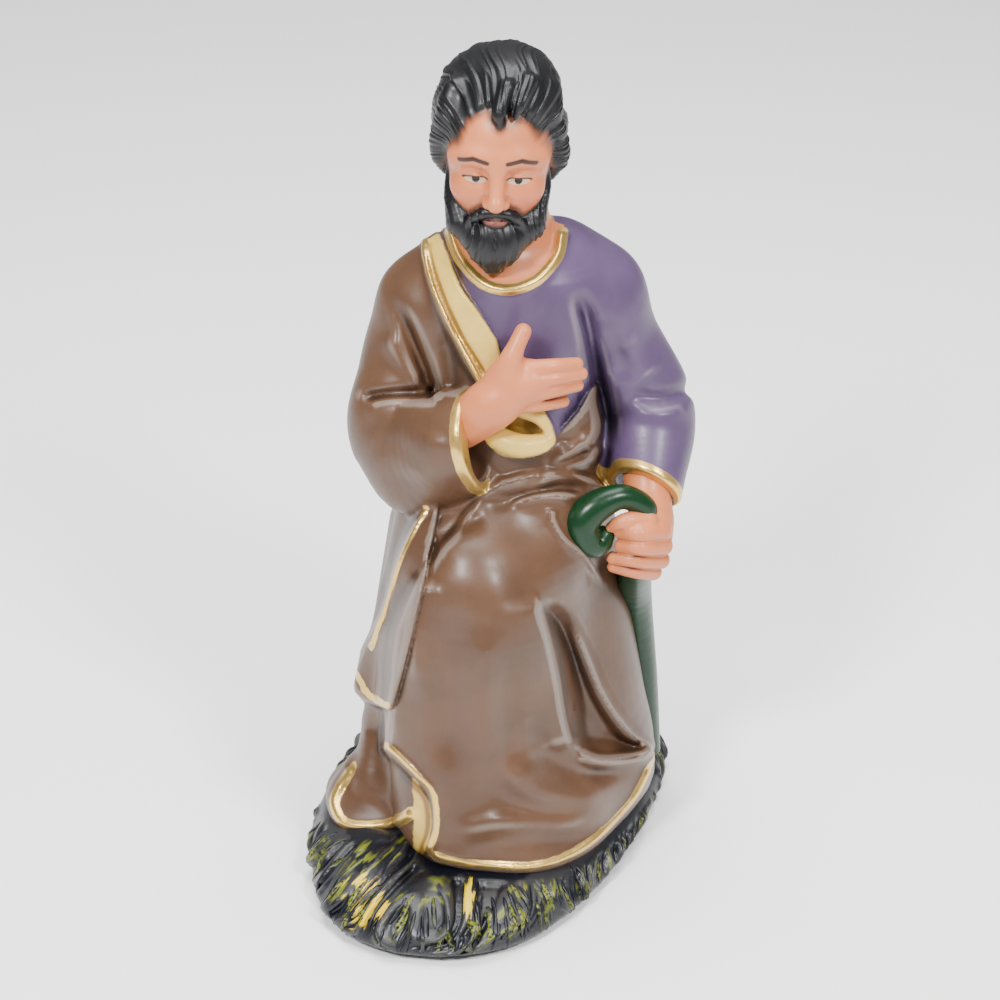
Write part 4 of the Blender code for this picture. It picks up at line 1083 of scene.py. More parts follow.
def paint_robes(points):
    """Distances from the paints of the robes."""
    seen = np.column_stack(drawn(points))
    front = points[:, 1] < FRONT_END
    body = worked(points, mass_robes, fold_robes)
    mantle_arm = worked(points, mass_mantle_arm)
    tunic_arm = worked(points, mass_tunic_arm)
    (low_x, low_z), (high_x, high_z) = BACK_EDGE
    length = math.hypot(low_x - high_x, high_z - low_z)
    back = (points[:, 0] - low_x) * (high_z - low_z) + (points[:, 2] - low_z) * (low_x - high_x)
    back = -back / length
    chest = np.where(front, inside_outline(points, seen, CHEST, FAR), back)
    chest = np.maximum(chest, body - mantle_arm)
    tunic = np.minimum(chest, tunic_arm - np.minimum(body, mantle_arm))
    lapel = inside_outline(points, seen, LAPEL)
    lining = np.minimum(lapel, inside_outline(points, seen, ROLL, -6))
    lining = np.maximum(lining, body - mantle_arm)
    lining = np.minimum(lining, inside_outline(points, seen, HEM_LINING, -4))
    flesh = np.where(front, inside_outline(points, seen, THROAT, FAR), COLLAR_HEIGHT - points[:, 2])
    flesh = np.maximum(flesh, THROAT_FOOT - points[:, 2])
    collar = np.where(front, to_line(seen, smooth_path(COLLAR))[0] - COLLAR_WIDTH / 2,
                      neck_gap(points) - COLLAR_WIDTH)
    collar = np.maximum(collar, COLLAR_FOOT - points[:, 2])
    cuff_right = cuff(points, SLEEVE_RIGHT, CUFF_RIGHT, HOLLOW_RIGHT, mantle_arm, body)
    cuff_left = cuff(points, SLEEVE_LEFT, CUFF_LEFT, HOLLOW_LEFT, tunic_arm, body)
    back_edge = np.maximum.reduce([np.abs(back) - BACK_EDGE_HALF, FRONT_END - points[:, 1],
                                   low_z - points[:, 2], body - np.minimum(mantle_arm, tunic_arm)])
    lapel_edge = np.maximum(painted_band(points, seen, LAPEL_EDGE, 1.0), body - mantle_arm)
    gold = np.minimum.reduce([collar, cuff_right, cuff_left, back_edge, lapel_edge]
                             + [painted_band(points, seen, line, width) for line, width in HEM_BANDS])
    return {"tunic": tunic, "lining": lining, "flesh": flesh, "gold": gold}


def paint_head(points):
    """Distances from the paints of the head."""
    face, beard, hair = (worked(points, work) for work in (work_face, work_beard, work_hair))
    x, y, z = points.T
    side = np.abs(x)
    front = np.column_stack([side, z])
    eye = np.hypot(side - 2.3, z + 0.45) + np.maximum(y + 3, 0)
    brow = to_line(front, np.array([(1.1, 2.05), (2.6, 2.35), (4.1, 1.75)]))[0]
    white = np.maximum(np.hypot((side - 2.35) / 1.2, (z + 0.5) / 0.42) - 1, y + 4.5)
    lips = np.maximum(np.hypot(side / 1.5, (z + 4.85) / 0.66) - 1, y + 5.9)
    lash = to_line(front, np.array([(1.1, -0.3), (1.8, -0.1), (2.6, -0.08), (3.7, -0.4)]))[0]
    return {"hair": hair - np.minimum(face, beard), "beard": beard - np.minimum(face, hair),
            "brow": np.maximum(brow, y + 3), "lips": lips, "white": white,
            "lash": np.maximum(lash, y + 3),
            "iris": np.maximum(eye, y + 4.9), "cheek": np.hypot(np.hypot(side - 3.2, z + 2.4), y + 5)}


def paint_mound(points):
    """The measures that the straw's paint follows."""
    seen = np.column_stack(drawn(points))
    down, along = running(points)
    dabs = np.minimum.reduce([np.hypot((seen[:, 0] - x) / wide, (seen[:, 1] - y) / high)
                              for x, y, wide, high in YELLOW_DABS])
    clear = np.minimum(hem_distance(points) - SMOOTH_BAND, points[:, 2] - 1.6)
    return {"ridge": straw_ridges(points), "along": along, "down": down, "dab": dabs, "clear": clear}


# Materials

def shaded(colour, share):
    """A colour made darker, or lighter where share is over 1."""
    return [min(part * share, 1) for part in colour[:3]] + [1]


class Wiring:
    """A node tree, and the ways to put nodes into it."""

    def put(self, value, socket):
        """Links a socket to another, or gives it a plain value."""
        if isinstance(value, bpy.types.NodeSocket):
            self.tree.links.new(value, socket)
        else:
            socket.default_value = value

    def math(self, operation, *values):
        """One operation on numbers."""
        node = self.tree.nodes.new("ShaderNodeMath")
        node.operation = operation
        for value, socket in zip(values, node.inputs):
            self.put(value, socket)
        return node.outputs[0]


WAVE_SIZE = 0.009  # metres
GRAIN_SIZE = 0.0012  # metres
GRAIN_SHARE = 0.18  # height of the grain, in heights of a wave
BRUSH_RELIEF = 0.0005  # metres, the height of a wave
CREASE_SHADE_TINT = (1, 1.02, 1.05)  # painted shade: creases turn a little bluer as they are painted darker
RIDGE_HIGHLIGHT_TINT = (0.35, 0.33, 0.3, 1)  # painted highlight: a pale tint added on the ridges


class Paint(Wiring):
    """A material and the nodes that are added to it."""

    def __init__(self, name, roughness=0.36, coat=0.08):
        self.material = bpy.data.materials.new(name)
        self.material.use_nodes = True
        self.tree = self.material.node_tree
        self.shader = self.tree.nodes["Principled BSDF"]
        self.shader.inputs["Roughness"].default_value = roughness
        self.shader.inputs["Coat Weight"].default_value = coat
        self.shader.inputs["Coat Roughness"].default_value = 0.22
        self.shader.inputs["Specular IOR Level"].default_value = 0.35
        self.coords = self.tree.nodes.new("ShaderNodeTexCoord").outputs["Object"]

    def mask(self, name):
        """What is kept on the points under a name."""
        node = self.tree.nodes.new("ShaderNodeAttribute")
        node.attribute_name = name
        return node.outputs["Fac"]

    def noise(self, size, detail=3.0, rough=0.55, stretch=(1, 1, 1)):
        """Noise about as large as size, in metres, between 0 and 1."""
        place = self.tree.nodes.new("ShaderNodeMapping")
        place.inputs["Scale"].default_value = [part / size for part in stretch]
        self.put(self.coords, place.inputs["Vector"])
        node = self.tree.nodes.new("ShaderNodeTexNoise")
        node.inputs["Scale"].default_value = 1
        node.inputs["Detail"].default_value = detail
        node.inputs["Roughness"].default_value = rough
        self.put(place.outputs[0], node.inputs["Vector"])
        return node.outputs["Fac"]

    def ramp(self, value, low, high, to_low=0.0, to_high=1.0):
        """Goes softly from to_low to to_high as value goes from low to high."""
        node = self.tree.nodes.new("ShaderNodeMapRange")
        node.interpolation_type = "SMOOTHSTEP"
        for number, part in enumerate((value, low, high, to_low, to_high)):
            self.put(part, node.inputs[number])
        return node.outputs[0]

    def inside(self, name, soft=0.12, wobble=0.25, size=0.006):
        """1 where the paint of a mask is laid. Its edge wanders a little, as a brush leaves it."""
        edge = self.math("MULTIPLY_ADD", self.math("SUBTRACT", self.noise(size), 0.5), wobble * 2,
                         self.mask(name))
        return self.ramp(edge, -soft, soft, 1.0, 0.0)

    def mix(self, share, first, second, blend="MIX"):
        """Two colours mixed: the second where share is 1."""
        node = self.tree.nodes.new("ShaderNodeMix")
        node.data_type = "RGBA"
        node.blend_type = blend
        self.put(share, node.inputs[0])
        self.put(first, node.inputs[6])
        self.put(second, node.inputs[7])
        return node.outputs[2]

    def mottled(self, colour, spread=0.12, size=0.02):
        """A colour with the soft clouds of brushed paint."""
        clouds = self.ramp(self.noise(size, 4), 0.3, 0.7)
        return self.mix(clouds, shaded(colour, 1 - spread), shaded(colour, 1 + spread))

    def bump(self, height, distance, strength):
        """Raises the skin's shading by a height."""
        node = self.tree.nodes.new("ShaderNodeBump")
        node.inputs["Strength"].default_value = strength
        node.inputs["Distance"].default_value = distance
        self.put(height, node.inputs["Height"])
        self.put(node.outputs[0], self.shader.inputs["Normal"])

    def brushed(self, strength=0.35):
        """The skin of brushed plaster paint: soft waves and a fine grain."""
        waves = self.noise(WAVE_SIZE, 2, 0.5)
        grain = self.noise(GRAIN_SIZE, 2, 0.6, (1, 1, 0.4))
        self.bump(self.math("MULTIPLY_ADD", grain, GRAIN_SHARE, waves), BRUSH_RELIEF, strength)

    def creases(self, colour, depth=0.55, shine=0.25):
        """Painted shade, darker in the creases, and a painted highlight, a little lighter on the ridges."""
        hollow = self.mask("hollow")
        # painted shade: the colour is darkened and tinted bluer in the creases
        shade = shaded(CREASE_SHADE_TINT, 1 - depth)
        colour = self.mix(self.ramp(hollow, 0.15, 0.9), colour,
                          self.mix(1.0, colour, shade, "MULTIPLY"))
        # painted highlight: the colour is made lighter on the ridges
        worn = self.math("MULTIPLY", self.ramp(hollow, -0.05, -0.5), shine)
        return self.mix(worn, colour, self.mix(1.0, colour, RIDGE_HIGHLIGHT_TINT, "ADD"))

    def lay(self, colour):
        """Puts the finished colour on, and gives the material."""
        self.put(colour, self.shader.inputs["Base Color"])
        return self.material


def gilt(paint, share, colour, gold):
    """Lays gold over a colour where share is 1, with metal gloss there."""
    worn = paint.ramp(paint.noise(0.004, 3), 0.28, 0.55, 0.55, 1.0)
    paint.put(paint.math("MULTIPLY", share, 0.85), paint.shader.inputs["Metallic"])
    paint.put(paint.ramp(share, 0, 1, 0.4, 0.3), paint.shader.inputs["Roughness"])
    return paint.mix(share, colour, paint.mix(worn, shaded(gold, 0.55), list(gold)))


SKIN_ROUGHNESS = 0.42
CHEEK_TINT = (1, 0.72, 0.66, 1)  # shares of the skin's red, green and blue on the cheeks
DARK_STROKES = (  # mask, distance up to which a stroke covers, distance where it ends, how far it covers
    ("iris", 0.4, 0.48, 1.0), ("lash", 0.06, 0.18, 0.9), ("brow", 0.14, 0.38, 0.95))


def flesh_tone(paint, colours):
    """The mottled skin of throat, face and hands."""
    return paint.mottled(colours.flesh, spread=0.06, size=0.02)


def robes_paint(colours):
    """Mantle, tunic, lining and bare throat, with the gilt trims over them."""
    paint = Paint("painted_robes")
    mantle = paint.mottled(colours.mantle, spread=0.16, size=0.03)
    tunic = paint.mottled(colours.tunic, spread=0.12, size=0.025)
    colour = paint.mix(paint.inside("tunic"), mantle, tunic)
    # painted shade in the creases and a painted highlight on the ridges
    colour = paint.creases(colour)
    # painted shade: the lining turns to its ochre shade colour in its creases
    lining = paint.mix(paint.ramp(paint.mask("hollow"), 0.1, 0.8),
                       paint.mottled(colours.lining, spread=0.08, size=0.012),
                       list(colours.lining_shade))
    colour = paint.mix(paint.inside("lining"), colour, lining)
    colour = paint.mix(paint.inside("flesh"), colour, flesh_tone(paint, colours))
    trims = paint.inside("gold", soft=0.08, wobble=0.12, size=0.004)
    colour = gilt(paint, trims, colour, colours.gold)
    paint.brushed()
    return paint.lay(colour)


def head_paint(colours):
    """Skin with rosy cheeks, lips, eyes and brows, and the dark of hair and beard."""
    paint = Paint("painted_head", SKIN_ROUGHNESS)
    rosy = [part * share for part, share in zip(colours.flesh, CHEEK_TINT)]
    colour = paint.mix(paint.ramp(paint.mask("cheek"), 0.4, 2.6, 0.5, 0.0),
                       flesh_tone(paint, colours), rosy)
    # painted shade in the creases of the face
    colour = paint.creases(colour, depth=0.4, shine=0.0)
    colour = paint.mix(paint.inside("lips", soft=0.2, wobble=0.05), colour, list(colours.lips))
    colour = paint.mix(paint.inside("white", soft=0.05, wobble=0.1), colour, list(colours.eye_white))
    dark = list(colours.hair)
    for mask, full, end, cover in DARK_STROKES:
        colour = paint.mix(paint.ramp(paint.mask(mask), full, end, cover, 0.0), colour, dark)
    hairy = paint.math("MAXIMUM", paint.ramp(paint.mask("beard"), -0.1, 0.8, 1.0, 0.0),
                       paint.ramp(paint.mask("hair"), -0.1, 1.2, 1.0, 0.0))
    colour = paint.mix(hairy, colour, dark)
    paint.put(paint.ramp(hairy, 0.0, 1.0, 0.42, 0.44), paint.shader.inputs["Roughness"])
    paint.brushed(0.25)
    return paint.lay(colour)


def flesh_paint(colours):
    """The skin of the hands."""
    paint = Paint("painted_flesh", SKIN_ROUGHNESS)
    paint.brushed(0.25)
    # painted shade in the creases of the hands
    return paint.lay(paint.creases(flesh_tone(paint, colours), depth=0.45, shine=0.0))


def night_ground(paint, colours):
    """The mottled night blue under the strokes."""
    return paint.mottled(colours.mound, spread=0.2, size=0.02)


def olive_patches(paint):
    """Where the olive was brushed on, in patches about two centimetres wide."""
    return paint.ramp(paint.noise(0.022, 2), 0.42, 0.56)


def straw_strokes(paint, colours, ridge, ground):
    """Olive and yellow dragged over the crests of the straw with a nearly dry brush."""
    strokes = paint.tree.nodes.new("ShaderNodeCombineXYZ")
    paint.put(paint.math("MULTIPLY", paint.mask("along"), 1.6), strokes.inputs[0])
    paint.put(paint.math("MULTIPLY", paint.mask("down"), 0.45), strokes.inputs[1])
    dry = paint.tree.nodes.new("ShaderNodeTexNoise")
    dry.inputs["Scale"].default_value = 1.0
    dry.inputs["Detail"].default_value = 4
    paint.put(strokes.outputs[0], dry.inputs["Vector"])
    dry = dry.outputs["Fac"]
    clear = paint.ramp(paint.mask("clear"), 0.0, 1.0)
    crest = paint.ramp(ridge, -0.05, 0.3)
    olive = paint.math("MULTIPLY", paint.math("MULTIPLY", crest, olive_patches(paint)),
                       paint.math("MULTIPLY", paint.ramp(dry, 0.5, 0.58), clear))
    colour = paint.mix(paint.math("MULTIPLY", olive, 0.85), ground, list(colours.olive))
    bright = paint.math("ADD", paint.mask("dab"), paint.math("MULTIPLY", dry, -3.0))
    bright = paint.math("MULTIPLY", paint.ramp(bright, -0.85, -0.6, 1.0, 0.0),
                        paint.ramp(ridge, -0.6, -0.2))
    return paint.mix(bright, colour, list(colours.yellow))


def mound_paint(colours):
    """Night blue, with strokes of olive and yellow."""
    paint = Paint("painted_straw", roughness=0.38, coat=0.06)
    # painted shade in the hollows between the straws, and a faint painted highlight on their ridges
    ground = paint.creases(night_ground(paint, colours), depth=0.5, shine=0.06)
    colour = straw_strokes(paint, colours, paint.mask("ridge"), ground)
    paint.brushed(0.4)
    return paint.lay(colour)


def straw_paint(colours):
    """Night blue with a little olive, by each straw's own tone."""
    paint = Paint("painted_straws", roughness=0.38, coat=0.06)
    olive = paint.math("MULTIPLY", paint.ramp(paint.mask("tone"), 0.6, 0.65), olive_patches(paint))
    colour = paint.mix(paint.math("MULTIPLY", olive, paint.ramp(paint.noise(0.0015, 2), 0.4, 0.55)),
                       night_ground(paint, colours), list(colours.olive))
    paint.brushed(0.4)
    return paint.lay(colour)


def crook_paint(colours):
    """Dark green, rubbed lighter here and there."""
    paint = Paint("painted_crook", roughness=0.3, coat=0.1)
    paint.shader.inputs["Specular IOR Level"].default_value = 0.22
    worn = paint.ramp(paint.noise(0.008, 3), 0.45, 0.75, 0.0, 0.35)
    colour = paint.mix(worn, list(colours.crook), shaded(colours.crook, 1.6))
    paint.brushed(0.5)
    return paint.lay(colour)


# Geometry nodes

class Growth(Wiring):
    """A geometry node tree and its nodes."""

    def __init__(self, name):
        self.tree = bpy.data.node_groups.new(name, "GeometryNodeTree")
        self.tree.interface.new_socket("Geometry", in_out="INPUT", socket_type="NodeSocketGeometry")
        self.tree.interface.new_socket("Geometry", in_out="OUTPUT", socket_type="NodeSocketGeometry")
        self.ends = [self.tree.nodes.new(kind) for kind in ("NodeGroupInput", "NodeGroupOutput")]
        self.identifiers = {}

    def ask(self, name, kind, default):
        """A named input of the tree."""
        socket = self.tree.interface.new_socket(name, in_out="INPUT", socket_type="NodeSocket" + kind)
        socket.default_value = default
        self.identifiers[name] = socket.identifier
        return self.ends[0].outputs[name]

    def node(self, kind, settings=None, **inputs):
        """A node with its settings, and its inputs by name, with _ for a space."""
        node = self.tree.nodes.new(kind)
        for name, value in (settings or {}).items():
            setattr(node, name, value)
        for name, value in inputs.items():
            sockets = [socket for socket in node.inputs if socket.enabled
                       and socket.name.replace(" ", "_") == name]
            self.put(value, sockets[0])
        return node

    def stored(self, name, kind="FLOAT"):
        """What is kept on the points under a name."""
        return self.node("GeometryNodeInputNamedAttribute", {"data_type": kind}, Name=name).outputs[0]

    def vector(self, operation, *values):
        """One operation on vectors."""
        node = self.tree.nodes.new("ShaderNodeVectorMath")
        node.operation = operation
        for value, socket in zip(values, [socket for socket in node.inputs if socket.enabled]):
            self.put(value, socket)
        return node.outputs[0]

    def finish(self, geometry, material):
        """Ends the tree in plain geometry with its material."""
        real = self.node("GeometryNodeRealizeInstances", Geometry=geometry)
        painted = self.node("GeometryNodeSetMaterial", Geometry=real.outputs[0], Material=material)
        self.tree.links.new(painted.outputs[0], self.ends[1].inputs[0])

    def grow(self, obj, **values):
        """Runs the tree on an object with the named inputs set, and gives the plain mesh."""
        modifier = obj.modifiers.new(self.tree.name, "NODES")
        modifier.node_group = self.tree
        for name, value in values.items():
            modifier[self.identifiers[name.replace("_", " ")]] = value
        return evaluated_mesh(obj)


def crook_growth(material):
    """A rod swept along a curve, as thick at each point as the curve's radius says."""
    growth = Growth("turned_rod")
    thickness = growth.ask("Thickness", "Float", 1.0)
    sides = growth.ask("Sides", "Int", 48)
    spacing = growth.ask("Spacing", "Float", 0.001)
    path = growth.node("GeometryNodeResampleCurve", {"mode": "LENGTH"}, Curve=growth.ends[0].outputs[0],
                       Length=spacing)
    profile = growth.node("GeometryNodeCurvePrimitiveCircle", Resolution=sides, Radius=1.0)
    scale = growth.math("MULTIPLY", growth.node("GeometryNodeInputRadius").outputs[0], thickness)
    rod = growth.node("GeometryNodeCurveToMesh", Curve=path.outputs[0],
                      Profile_Curve=profile.outputs[0], Scale=scale, Fill_Caps=True)
    smooth = growth.node("GeometryNodeSetShadeSmooth", Geometry=rod.outputs[0])
    growth.finish(smooth.outputs[0], material)
    return growth


STRAW_SIDES = 8
STRAW_FLATNESS = 0.4  # thickness of a straw, in widths
STRAW_SCALES = (0.55, 1.1)  # the smallest and the largest straw


def straw_growth(material):
    """Carved straws strewn over the open skin of the mound, half sunk in it and lying down its slope."""
    growth = Growth("strewn_straw")
    density = growth.ask("Density", "Float", 60000.0)
    length = growth.ask("Straw Length", "Float", 0.02)
    width = growth.ask("Straw Width", "Float", 0.003)
    seed = growth.ask("Seed", "Int", 4)
    within = growth.node("FunctionNodeCompare", {"data_type": "FLOAT", "operation": "GREATER_THAN"},
                         A=growth.stored("open"), B=0.0)
    spots = growth.node("GeometryNodeDistributePointsOnFaces", Mesh=growth.ends[0].outputs[0],
                        Selection=within.outputs[0], Density=density, Seed=seed)
    run, facing = (growth.stored(name, "FLOAT_VECTOR") for name in ("run", "facing"))
    first = growth.node("FunctionNodeAlignRotationToVector", {"axis": "Z"}, Vector=run)
    turn = growth.node("FunctionNodeAlignRotationToVector", {"axis": "X", "pivot_axis": "Z"},
                       Rotation=first.outputs[0], Vector=facing)
    straw = growth.node("GeometryNodeMeshUVSphere", Segments=STRAW_SIDES, Rings=STRAW_SIDES, Radius=0.5)
    size = growth.node("ShaderNodeCombineXYZ", X=growth.math("MULTIPLY", width, STRAW_FLATNESS),
                       Y=width, Z=length)
    sized = growth.node("GeometryNodeTransform", Geometry=straw.outputs[0], Scale=size.outputs[0])
    place = growth.node("GeometryNodeInputPosition")
    parts = growth.node("ShaderNodeSeparateXYZ", Vector=place.outputs[0])
    risen = growth.node("GeometryNodeStoreNamedAttribute", {"data_type": "FLOAT", "domain": "POINT"},
                        Geometry=sized.outputs[0], Name="rise", Value=parts.outputs[0])
    smooth = growth.node("GeometryNodeSetShadeSmooth", Geometry=risen.outputs[0])
    vary = growth.node("FunctionNodeRandomValue", {"data_type": "FLOAT"}, Min=STRAW_SCALES[0],
                       Max=STRAW_SCALES[1], Seed=seed)
    strewn = growth.node("GeometryNodeInstanceOnPoints", Points=spots.outputs[0],
                         Instance=smooth.outputs[0], Rotation=turn.outputs[0], Scale=vary.outputs[1])
    tone = growth.node("FunctionNodeRandomValue", {"data_type": "FLOAT"}, Min=0.0, Max=1.0, Seed=seed)
    toned = growth.node("GeometryNodeStoreNamedAttribute", {"data_type": "FLOAT", "domain": "INSTANCE"},
                        Geometry=strewn.outputs[0], Name="tone", Value=tone.outputs[1])
    loose = growth.node("GeometryNodeRealizeInstances", Geometry=toned.outputs[0])
    # each straw is bent down onto the mound, half sunk in it
    near = growth.node("GeometryNodeProximity", {"target_element": "FACES"},
                       Geometry=growth.ends[0].outputs[0])
    skin = growth.node("GeometryNodeSampleNearestSurface", {"data_type": "FLOAT_VECTOR"},
                       Mesh=growth.ends[0].outputs[0], Value=facing)
    lifted = growth.vector("SCALE", growth.vector("NORMALIZE", skin.outputs[0]), growth.stored("rise"))
    bent = growth.node("GeometryNodeSetPosition", Geometry=loose.outputs[0],
                       Position=growth.vector("ADD", near.outputs[0], lifted))
    growth.finish(bent.outputs[0], material)
    return growth


# Sizes and colours that a user can change

def srgb(red, green, blue):
    """A colour of the paint box, from 0 to 255 as a screen shows it, as linear light."""
    parts = [part / 255 for part in (red, green, blue)]
    return *(part / 12.92 if part < 0.04045 else ((part + 0.055) / 1.055) ** 2.4 for part in parts), 1


def length_property(name, description, hundredths):
    return FloatProperty(name=name, description=description, default=hundredths * UNIT, min=0.0,
                         subtype="DISTANCE", unit="LENGTH")


def colour_property(name, description, red, green, blue):
    return FloatVectorProperty(name=name, description=description, default=srgb(red, green, blue),
                               size=4, min=0.0, max=1.0, subtype="COLOR")


class SaintSizes(bpy.types.PropertyGroup):
    """Sizes of the carving."""

    robes_grain: length_property("Robes Grain", "Spacing of the grid that the robes are carved in",
                                 0.26)
    head_grain: length_property("Head Grain", "Spacing of the grid that the head is carved in", 0.11)
    hand_grain: length_property("Hand Grain", "Spacing of the grid that the hands are carved in", 0.10)
    mound_grain: length_property("Mound Grain", "Spacing of the grid that the mound is carved in", 0.24)
    straw_length: length_property("Straw Length", "Length of a carved straw", 4.4)
    straw_width: length_property("Straw Width", "Width of a carved straw", 0.7)
    straw_density: FloatProperty(name="Straw Density", description="Carved straws on a square metre",
                                 default=24000.0, min=0.0)
    straw_seed: IntProperty(name="Straw Seed", description="Number that the scatter starts from",
                            default=4)
    crook_thickness: FloatProperty(name="Crook Thickness",
                                   description="Share of the crook's own thickness",
                                   default=1.0, min=0.1, max=2.0, subtype="FACTOR")


class SaintPaints(bpy.types.PropertyGroup):
    """Colours of the paint box."""

    mantle: colour_property("Mantle", "Brown of the mantle", 80, 55, 38)
    tunic: colour_property("Tunic", "Purple of the tunic", 74, 58, 86)
    lining: colour_property("Lining", "Cream of the mantle's lining", 204, 170, 82)
    lining_shade: colour_property("Lining Shade", "Ochre in the lining's creases", 134, 98, 36)
    flesh: colour_property("Flesh", "Skin of face and hands", 192, 112, 70)
    lips: colour_property("Lips", "Lips", 136, 72, 58)
    eye_white: colour_property("Eye White", "Whites of the eyes", 186, 154, 128)
    hair: colour_property("Hair", "Hair, beard and brows", 7, 7, 11)
    gold: colour_property("Gold", "Gilding of the trims", 215, 178, 100)
    crook: colour_property("Crook", "Green of the crook", 9, 42, 20)
    mound: colour_property("Mound", "Night blue of the mound", 11, 14, 22)
    olive: colour_property("Olive", "Olive strokes on the straw", 104, 110, 24)
    yellow: colour_property("Yellow", "Yellow strokes on the straw", 212, 180, 12)


def sizes():
    return bpy.context.scene.saint_sizes


def paints():
    return bpy.context.scene.saint_paints


# The pieces

class CarveMound(bpy.types.Operator):
    """Carve the mound of straw that the saint kneels on"""

    bl_idname = "plaster_saint.carve_mound"
    bl_label = "Carve Mound"

    def execute(self, context):
        obj = carve("straw_mound", work_mound, (-27, -34, -1.5), (28, 30, 8.5),
                    sizes().mound_grain / UNIT, MOST_MOUND, paint_mound)
        settle_in(obj, mound_paint(paints()))
        return {"FINISHED"}


def strewn_straws(mound):
    """Low carved straws laid on the mound, and their paint."""
    straws = new_object("carved_straws", mound.data.copy())
    places = (points_of(straws.data) / UNIT + PLAN_MIDDLE).astype(np.float32)
    gap = field_at(places, work_robes)
    free = np.minimum.reduce([gap - STRAW_CLEAR, places[:, 2] - STRAW_HEIGHTS[0],
                              STRAW_HEIGHTS[1] - places[:, 2],
                              hem_distance(places) - SMOOTH_BAND - STRAW_CLEAR])
    facing = slope_at(places, mass_mound)[1]
    across = np.column_stack([-facing[:, 1], facing[:, 0], np.zeros(len(facing))])
    run = np.cross(facing, across) + (LEAN_SHARE * straw_lean(places))[:, None] * across
    for name, values in (("open", free), ("facing", facing), ("run", run)):
        keep_on_points(straws.data, name, values)
    material = straw_paint(paints())
    straws.data = straw_growth(material).grow(
        straws, Density=sizes().straw_density, Straw_Length=sizes().straw_length,
        Straw_Width=sizes().straw_width, Seed=sizes().straw_seed)
    return straws, material


class StrewStraw(bpy.types.Operator):
    """Lay low carved straws over the open skin of the mound"""

    bl_idname = "plaster_saint.strew_straw"
    bl_label = "Strew Straw"

    def execute(self, context):
        mound = bpy.data.objects.get("straw_mound")
        if mound is None:
            raise RuntimeError("the straw is strewn on the mound: carve the mound first")
        straws, material = strewn_straws(mound)
        settle_in(straws, material)
        return {"FINISHED"}


class CarveRobes(bpy.types.Operator):
    """Carve the mantle, the tunic and their sleeves"""

    bl_idname = "plaster_saint.carve_robes"
    bl_label = "Carve Robes"

    def execute(self, context):
        obj = carve("robes", work_robes, (-24, -26, 1.0), (26, 27, 86), sizes().robes_grain / UNIT,
                    MOST_ROBES, paint_robes)
        settle_in(obj, robes_paint(paints()))
        return {"FINISHED"}


class CarveHead(bpy.types.Operator):
    """Carve the head with its hair and beard"""

    bl_idname = "plaster_saint.carve_head"
    bl_label = "Carve Head"

    def execute(self, context):
        spin = head_spin()
        obj = carve("head", work_head, (-9.5, -11.5, -13.5), (9.5, 14, 13.5), sizes().head_grain / UNIT,
                    MOST_HEAD, paint_head, lambda places: places @ spin.T + np.array(HEAD_MIDDLE))
        settle_in(obj, head_paint(paints()))
        return {"FINISHED"}


class CarveHands(bpy.types.Operator):
    """Carve the hand on the breast and the hand on the crook"""

    bl_idname = "plaster_saint.carve_hands"
    bl_label = "Carve Hands"

    def execute(self, context):
        material = flesh_paint(paints())
        for name, work, middle in (("breast_hand", work_breast_hand, (4, -11, 62.5)),
                                   ("crook_hand", work_fist, (18, -7, 43))):
            middle = np.array(middle, np.float32)
            obj = carve(name, work, middle - HAND_REACH, middle + HAND_REACH, sizes().hand_grain / UNIT,
                        MOST_HAND)
            settle_in(obj, material)
        return {"FINISHED"}


class BendCrook(bpy.types.Operator):
    """Sweep the crook along its bent path"""

    bl_idname = "plaster_saint.bend_crook"
    bl_label = "Bend Crook"

    def execute(self, context):
        line = smooth_path(np.column_stack([CROOK_PATH, CROOK_RADII]), steps=8)
        tip, before = line[-1], line[-2]
        run = (tip[:3] - before[:3]) / np.linalg.norm(tip[:3] - before[:3])
        for turn in np.radians(CROOK_END_TURNS):
            line = np.vstack([line, [*(tip[:3] + run * tip[3] * math.sin(turn) * CROOK_END_LENGTH),
                                     tip[3] * math.cos(turn)]])
        curve = bpy.data.curves.new("crook_path", "CURVE")
        curve.dimensions = "3D"
        spline = curve.splines.new("POLY")
        spline.points.add(len(line) - 1)
        for point, place, radius in zip(spline.points, to_metres(line[:, :3]), line[:, 3]):
            point.co = (*place, 1)
            point.radius = radius * UNIT
        path = new_object("crook_path", curve)
        material = crook_paint(paints())
        mesh = crook_growth(material).grow(path, Thickness=sizes().crook_thickness,
                                           Sides=CROOK_SIDES, Spacing=CROOK_SPACING * UNIT)
        bpy.data.objects.remove(path)
        settle_in(new_object("crook", mesh), material)
        return {"FINISHED"}


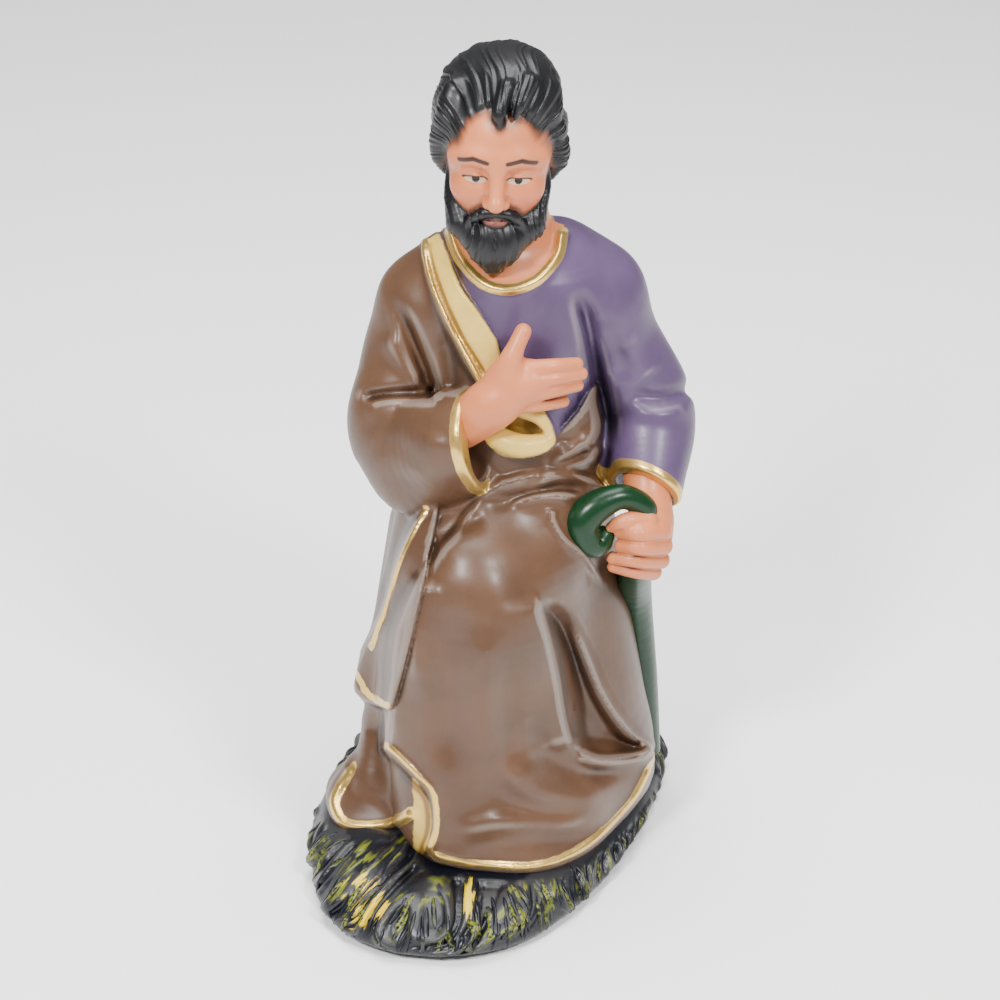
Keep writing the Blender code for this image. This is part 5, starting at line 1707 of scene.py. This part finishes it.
class SetStage(bpy.types.Operator):
    """Set the pale floor, the soft lights and the camera"""

    bl_idname = "plaster_saint.set_stage"
    bl_label = "Set Stage"

    def execute(self, context):
        bpy.ops.mesh.primitive_plane_add(size=FLOOR_SIZE)
        floor = context.object
        floor.name = "floor"
        pale = bpy.data.materials.new("pale_floor")
        pale.use_nodes = True
        shader = pale.node_tree.nodes["Principled BSDF"]
        shader.inputs["Base Color"].default_value = FLOOR_COLOUR
        shader.inputs["Roughness"].default_value = FLOOR_ROUGHNESS
        floor.data.materials.append(pale)
        target = Vector(((0, 0, MIDDLE) - PLAN_MIDDLE) * UNIT)
        for name, place, size, power in LIGHTS:
            light = bpy.data.lights.new(name, "AREA")
            light.size = size
            light.energy = power
            lamp = new_object(name, light)
            lamp.location = place
            lamp.rotation_euler = (target - lamp.location).to_track_quat("-Z", "Y").to_euler()
        world = bpy.data.worlds.new("studio")
        world.use_nodes = True
        sky = world.node_tree.nodes["Background"]
        sky.inputs["Color"].default_value = (1, 1, 1, 1)
        sky.inputs["Strength"].default_value = WORLD_LIGHT
        context.scene.world = world
        lens = bpy.data.cameras.new("camera")
        lens.lens = CAMERA_LENS
        lens.shift_x, lens.shift_y = CAMERA_SHIFT
        camera = new_object("camera", lens)
        away = Vector((0, -math.cos(LOOK_DOWN), math.sin(LOOK_DOWN)))
        camera.location = target + away * EYE_DISTANCE * UNIT
        camera.rotation_euler = (math.pi / 2 - LOOK_DOWN, 0, 0)
        context.scene.camera = camera
        return {"FINISHED"}


class SaintPanel(bpy.types.Panel):
    """Lists the steps, the sizes and the paints"""

    bl_idname = "VIEW3D_PT_plaster_saint"
    bl_label = "Plaster Saint"
    bl_space_type = "VIEW_3D"
    bl_region_type = "UI"
    bl_category = "Plaster Saint"

    def draw(self, context):
        for step in STEPS:
            self.layout.operator(step.bl_idname)
        for group in (context.scene.saint_sizes, context.scene.saint_paints):
            box = self.layout.box()
            for name in group.__annotations__:
                box.prop(group, name)


STEPS = (CarveMound, StrewStraw, CarveRobes, CarveHead, CarveHands, BendCrook, SetStage)
CLASSES = (SaintSizes, SaintPaints, *STEPS, SaintPanel)


def register():
    for kind in CLASSES:
        bpy.utils.register_class(kind)
    bpy.types.Scene.saint_sizes = PointerProperty(type=SaintSizes)
    bpy.types.Scene.saint_paints = PointerProperty(type=SaintPaints)


def unregister():
    del bpy.types.Scene.saint_paints
    del bpy.types.Scene.saint_sizes
    for kind in reversed(CLASSES):
        bpy.utils.unregister_class(kind)


def main():
    register()
    for step in STEPS:
        group, name = step.bl_idname.split(".")
        getattr(getattr(bpy.ops, group), name)()


if __name__ == "__main__":
    main()
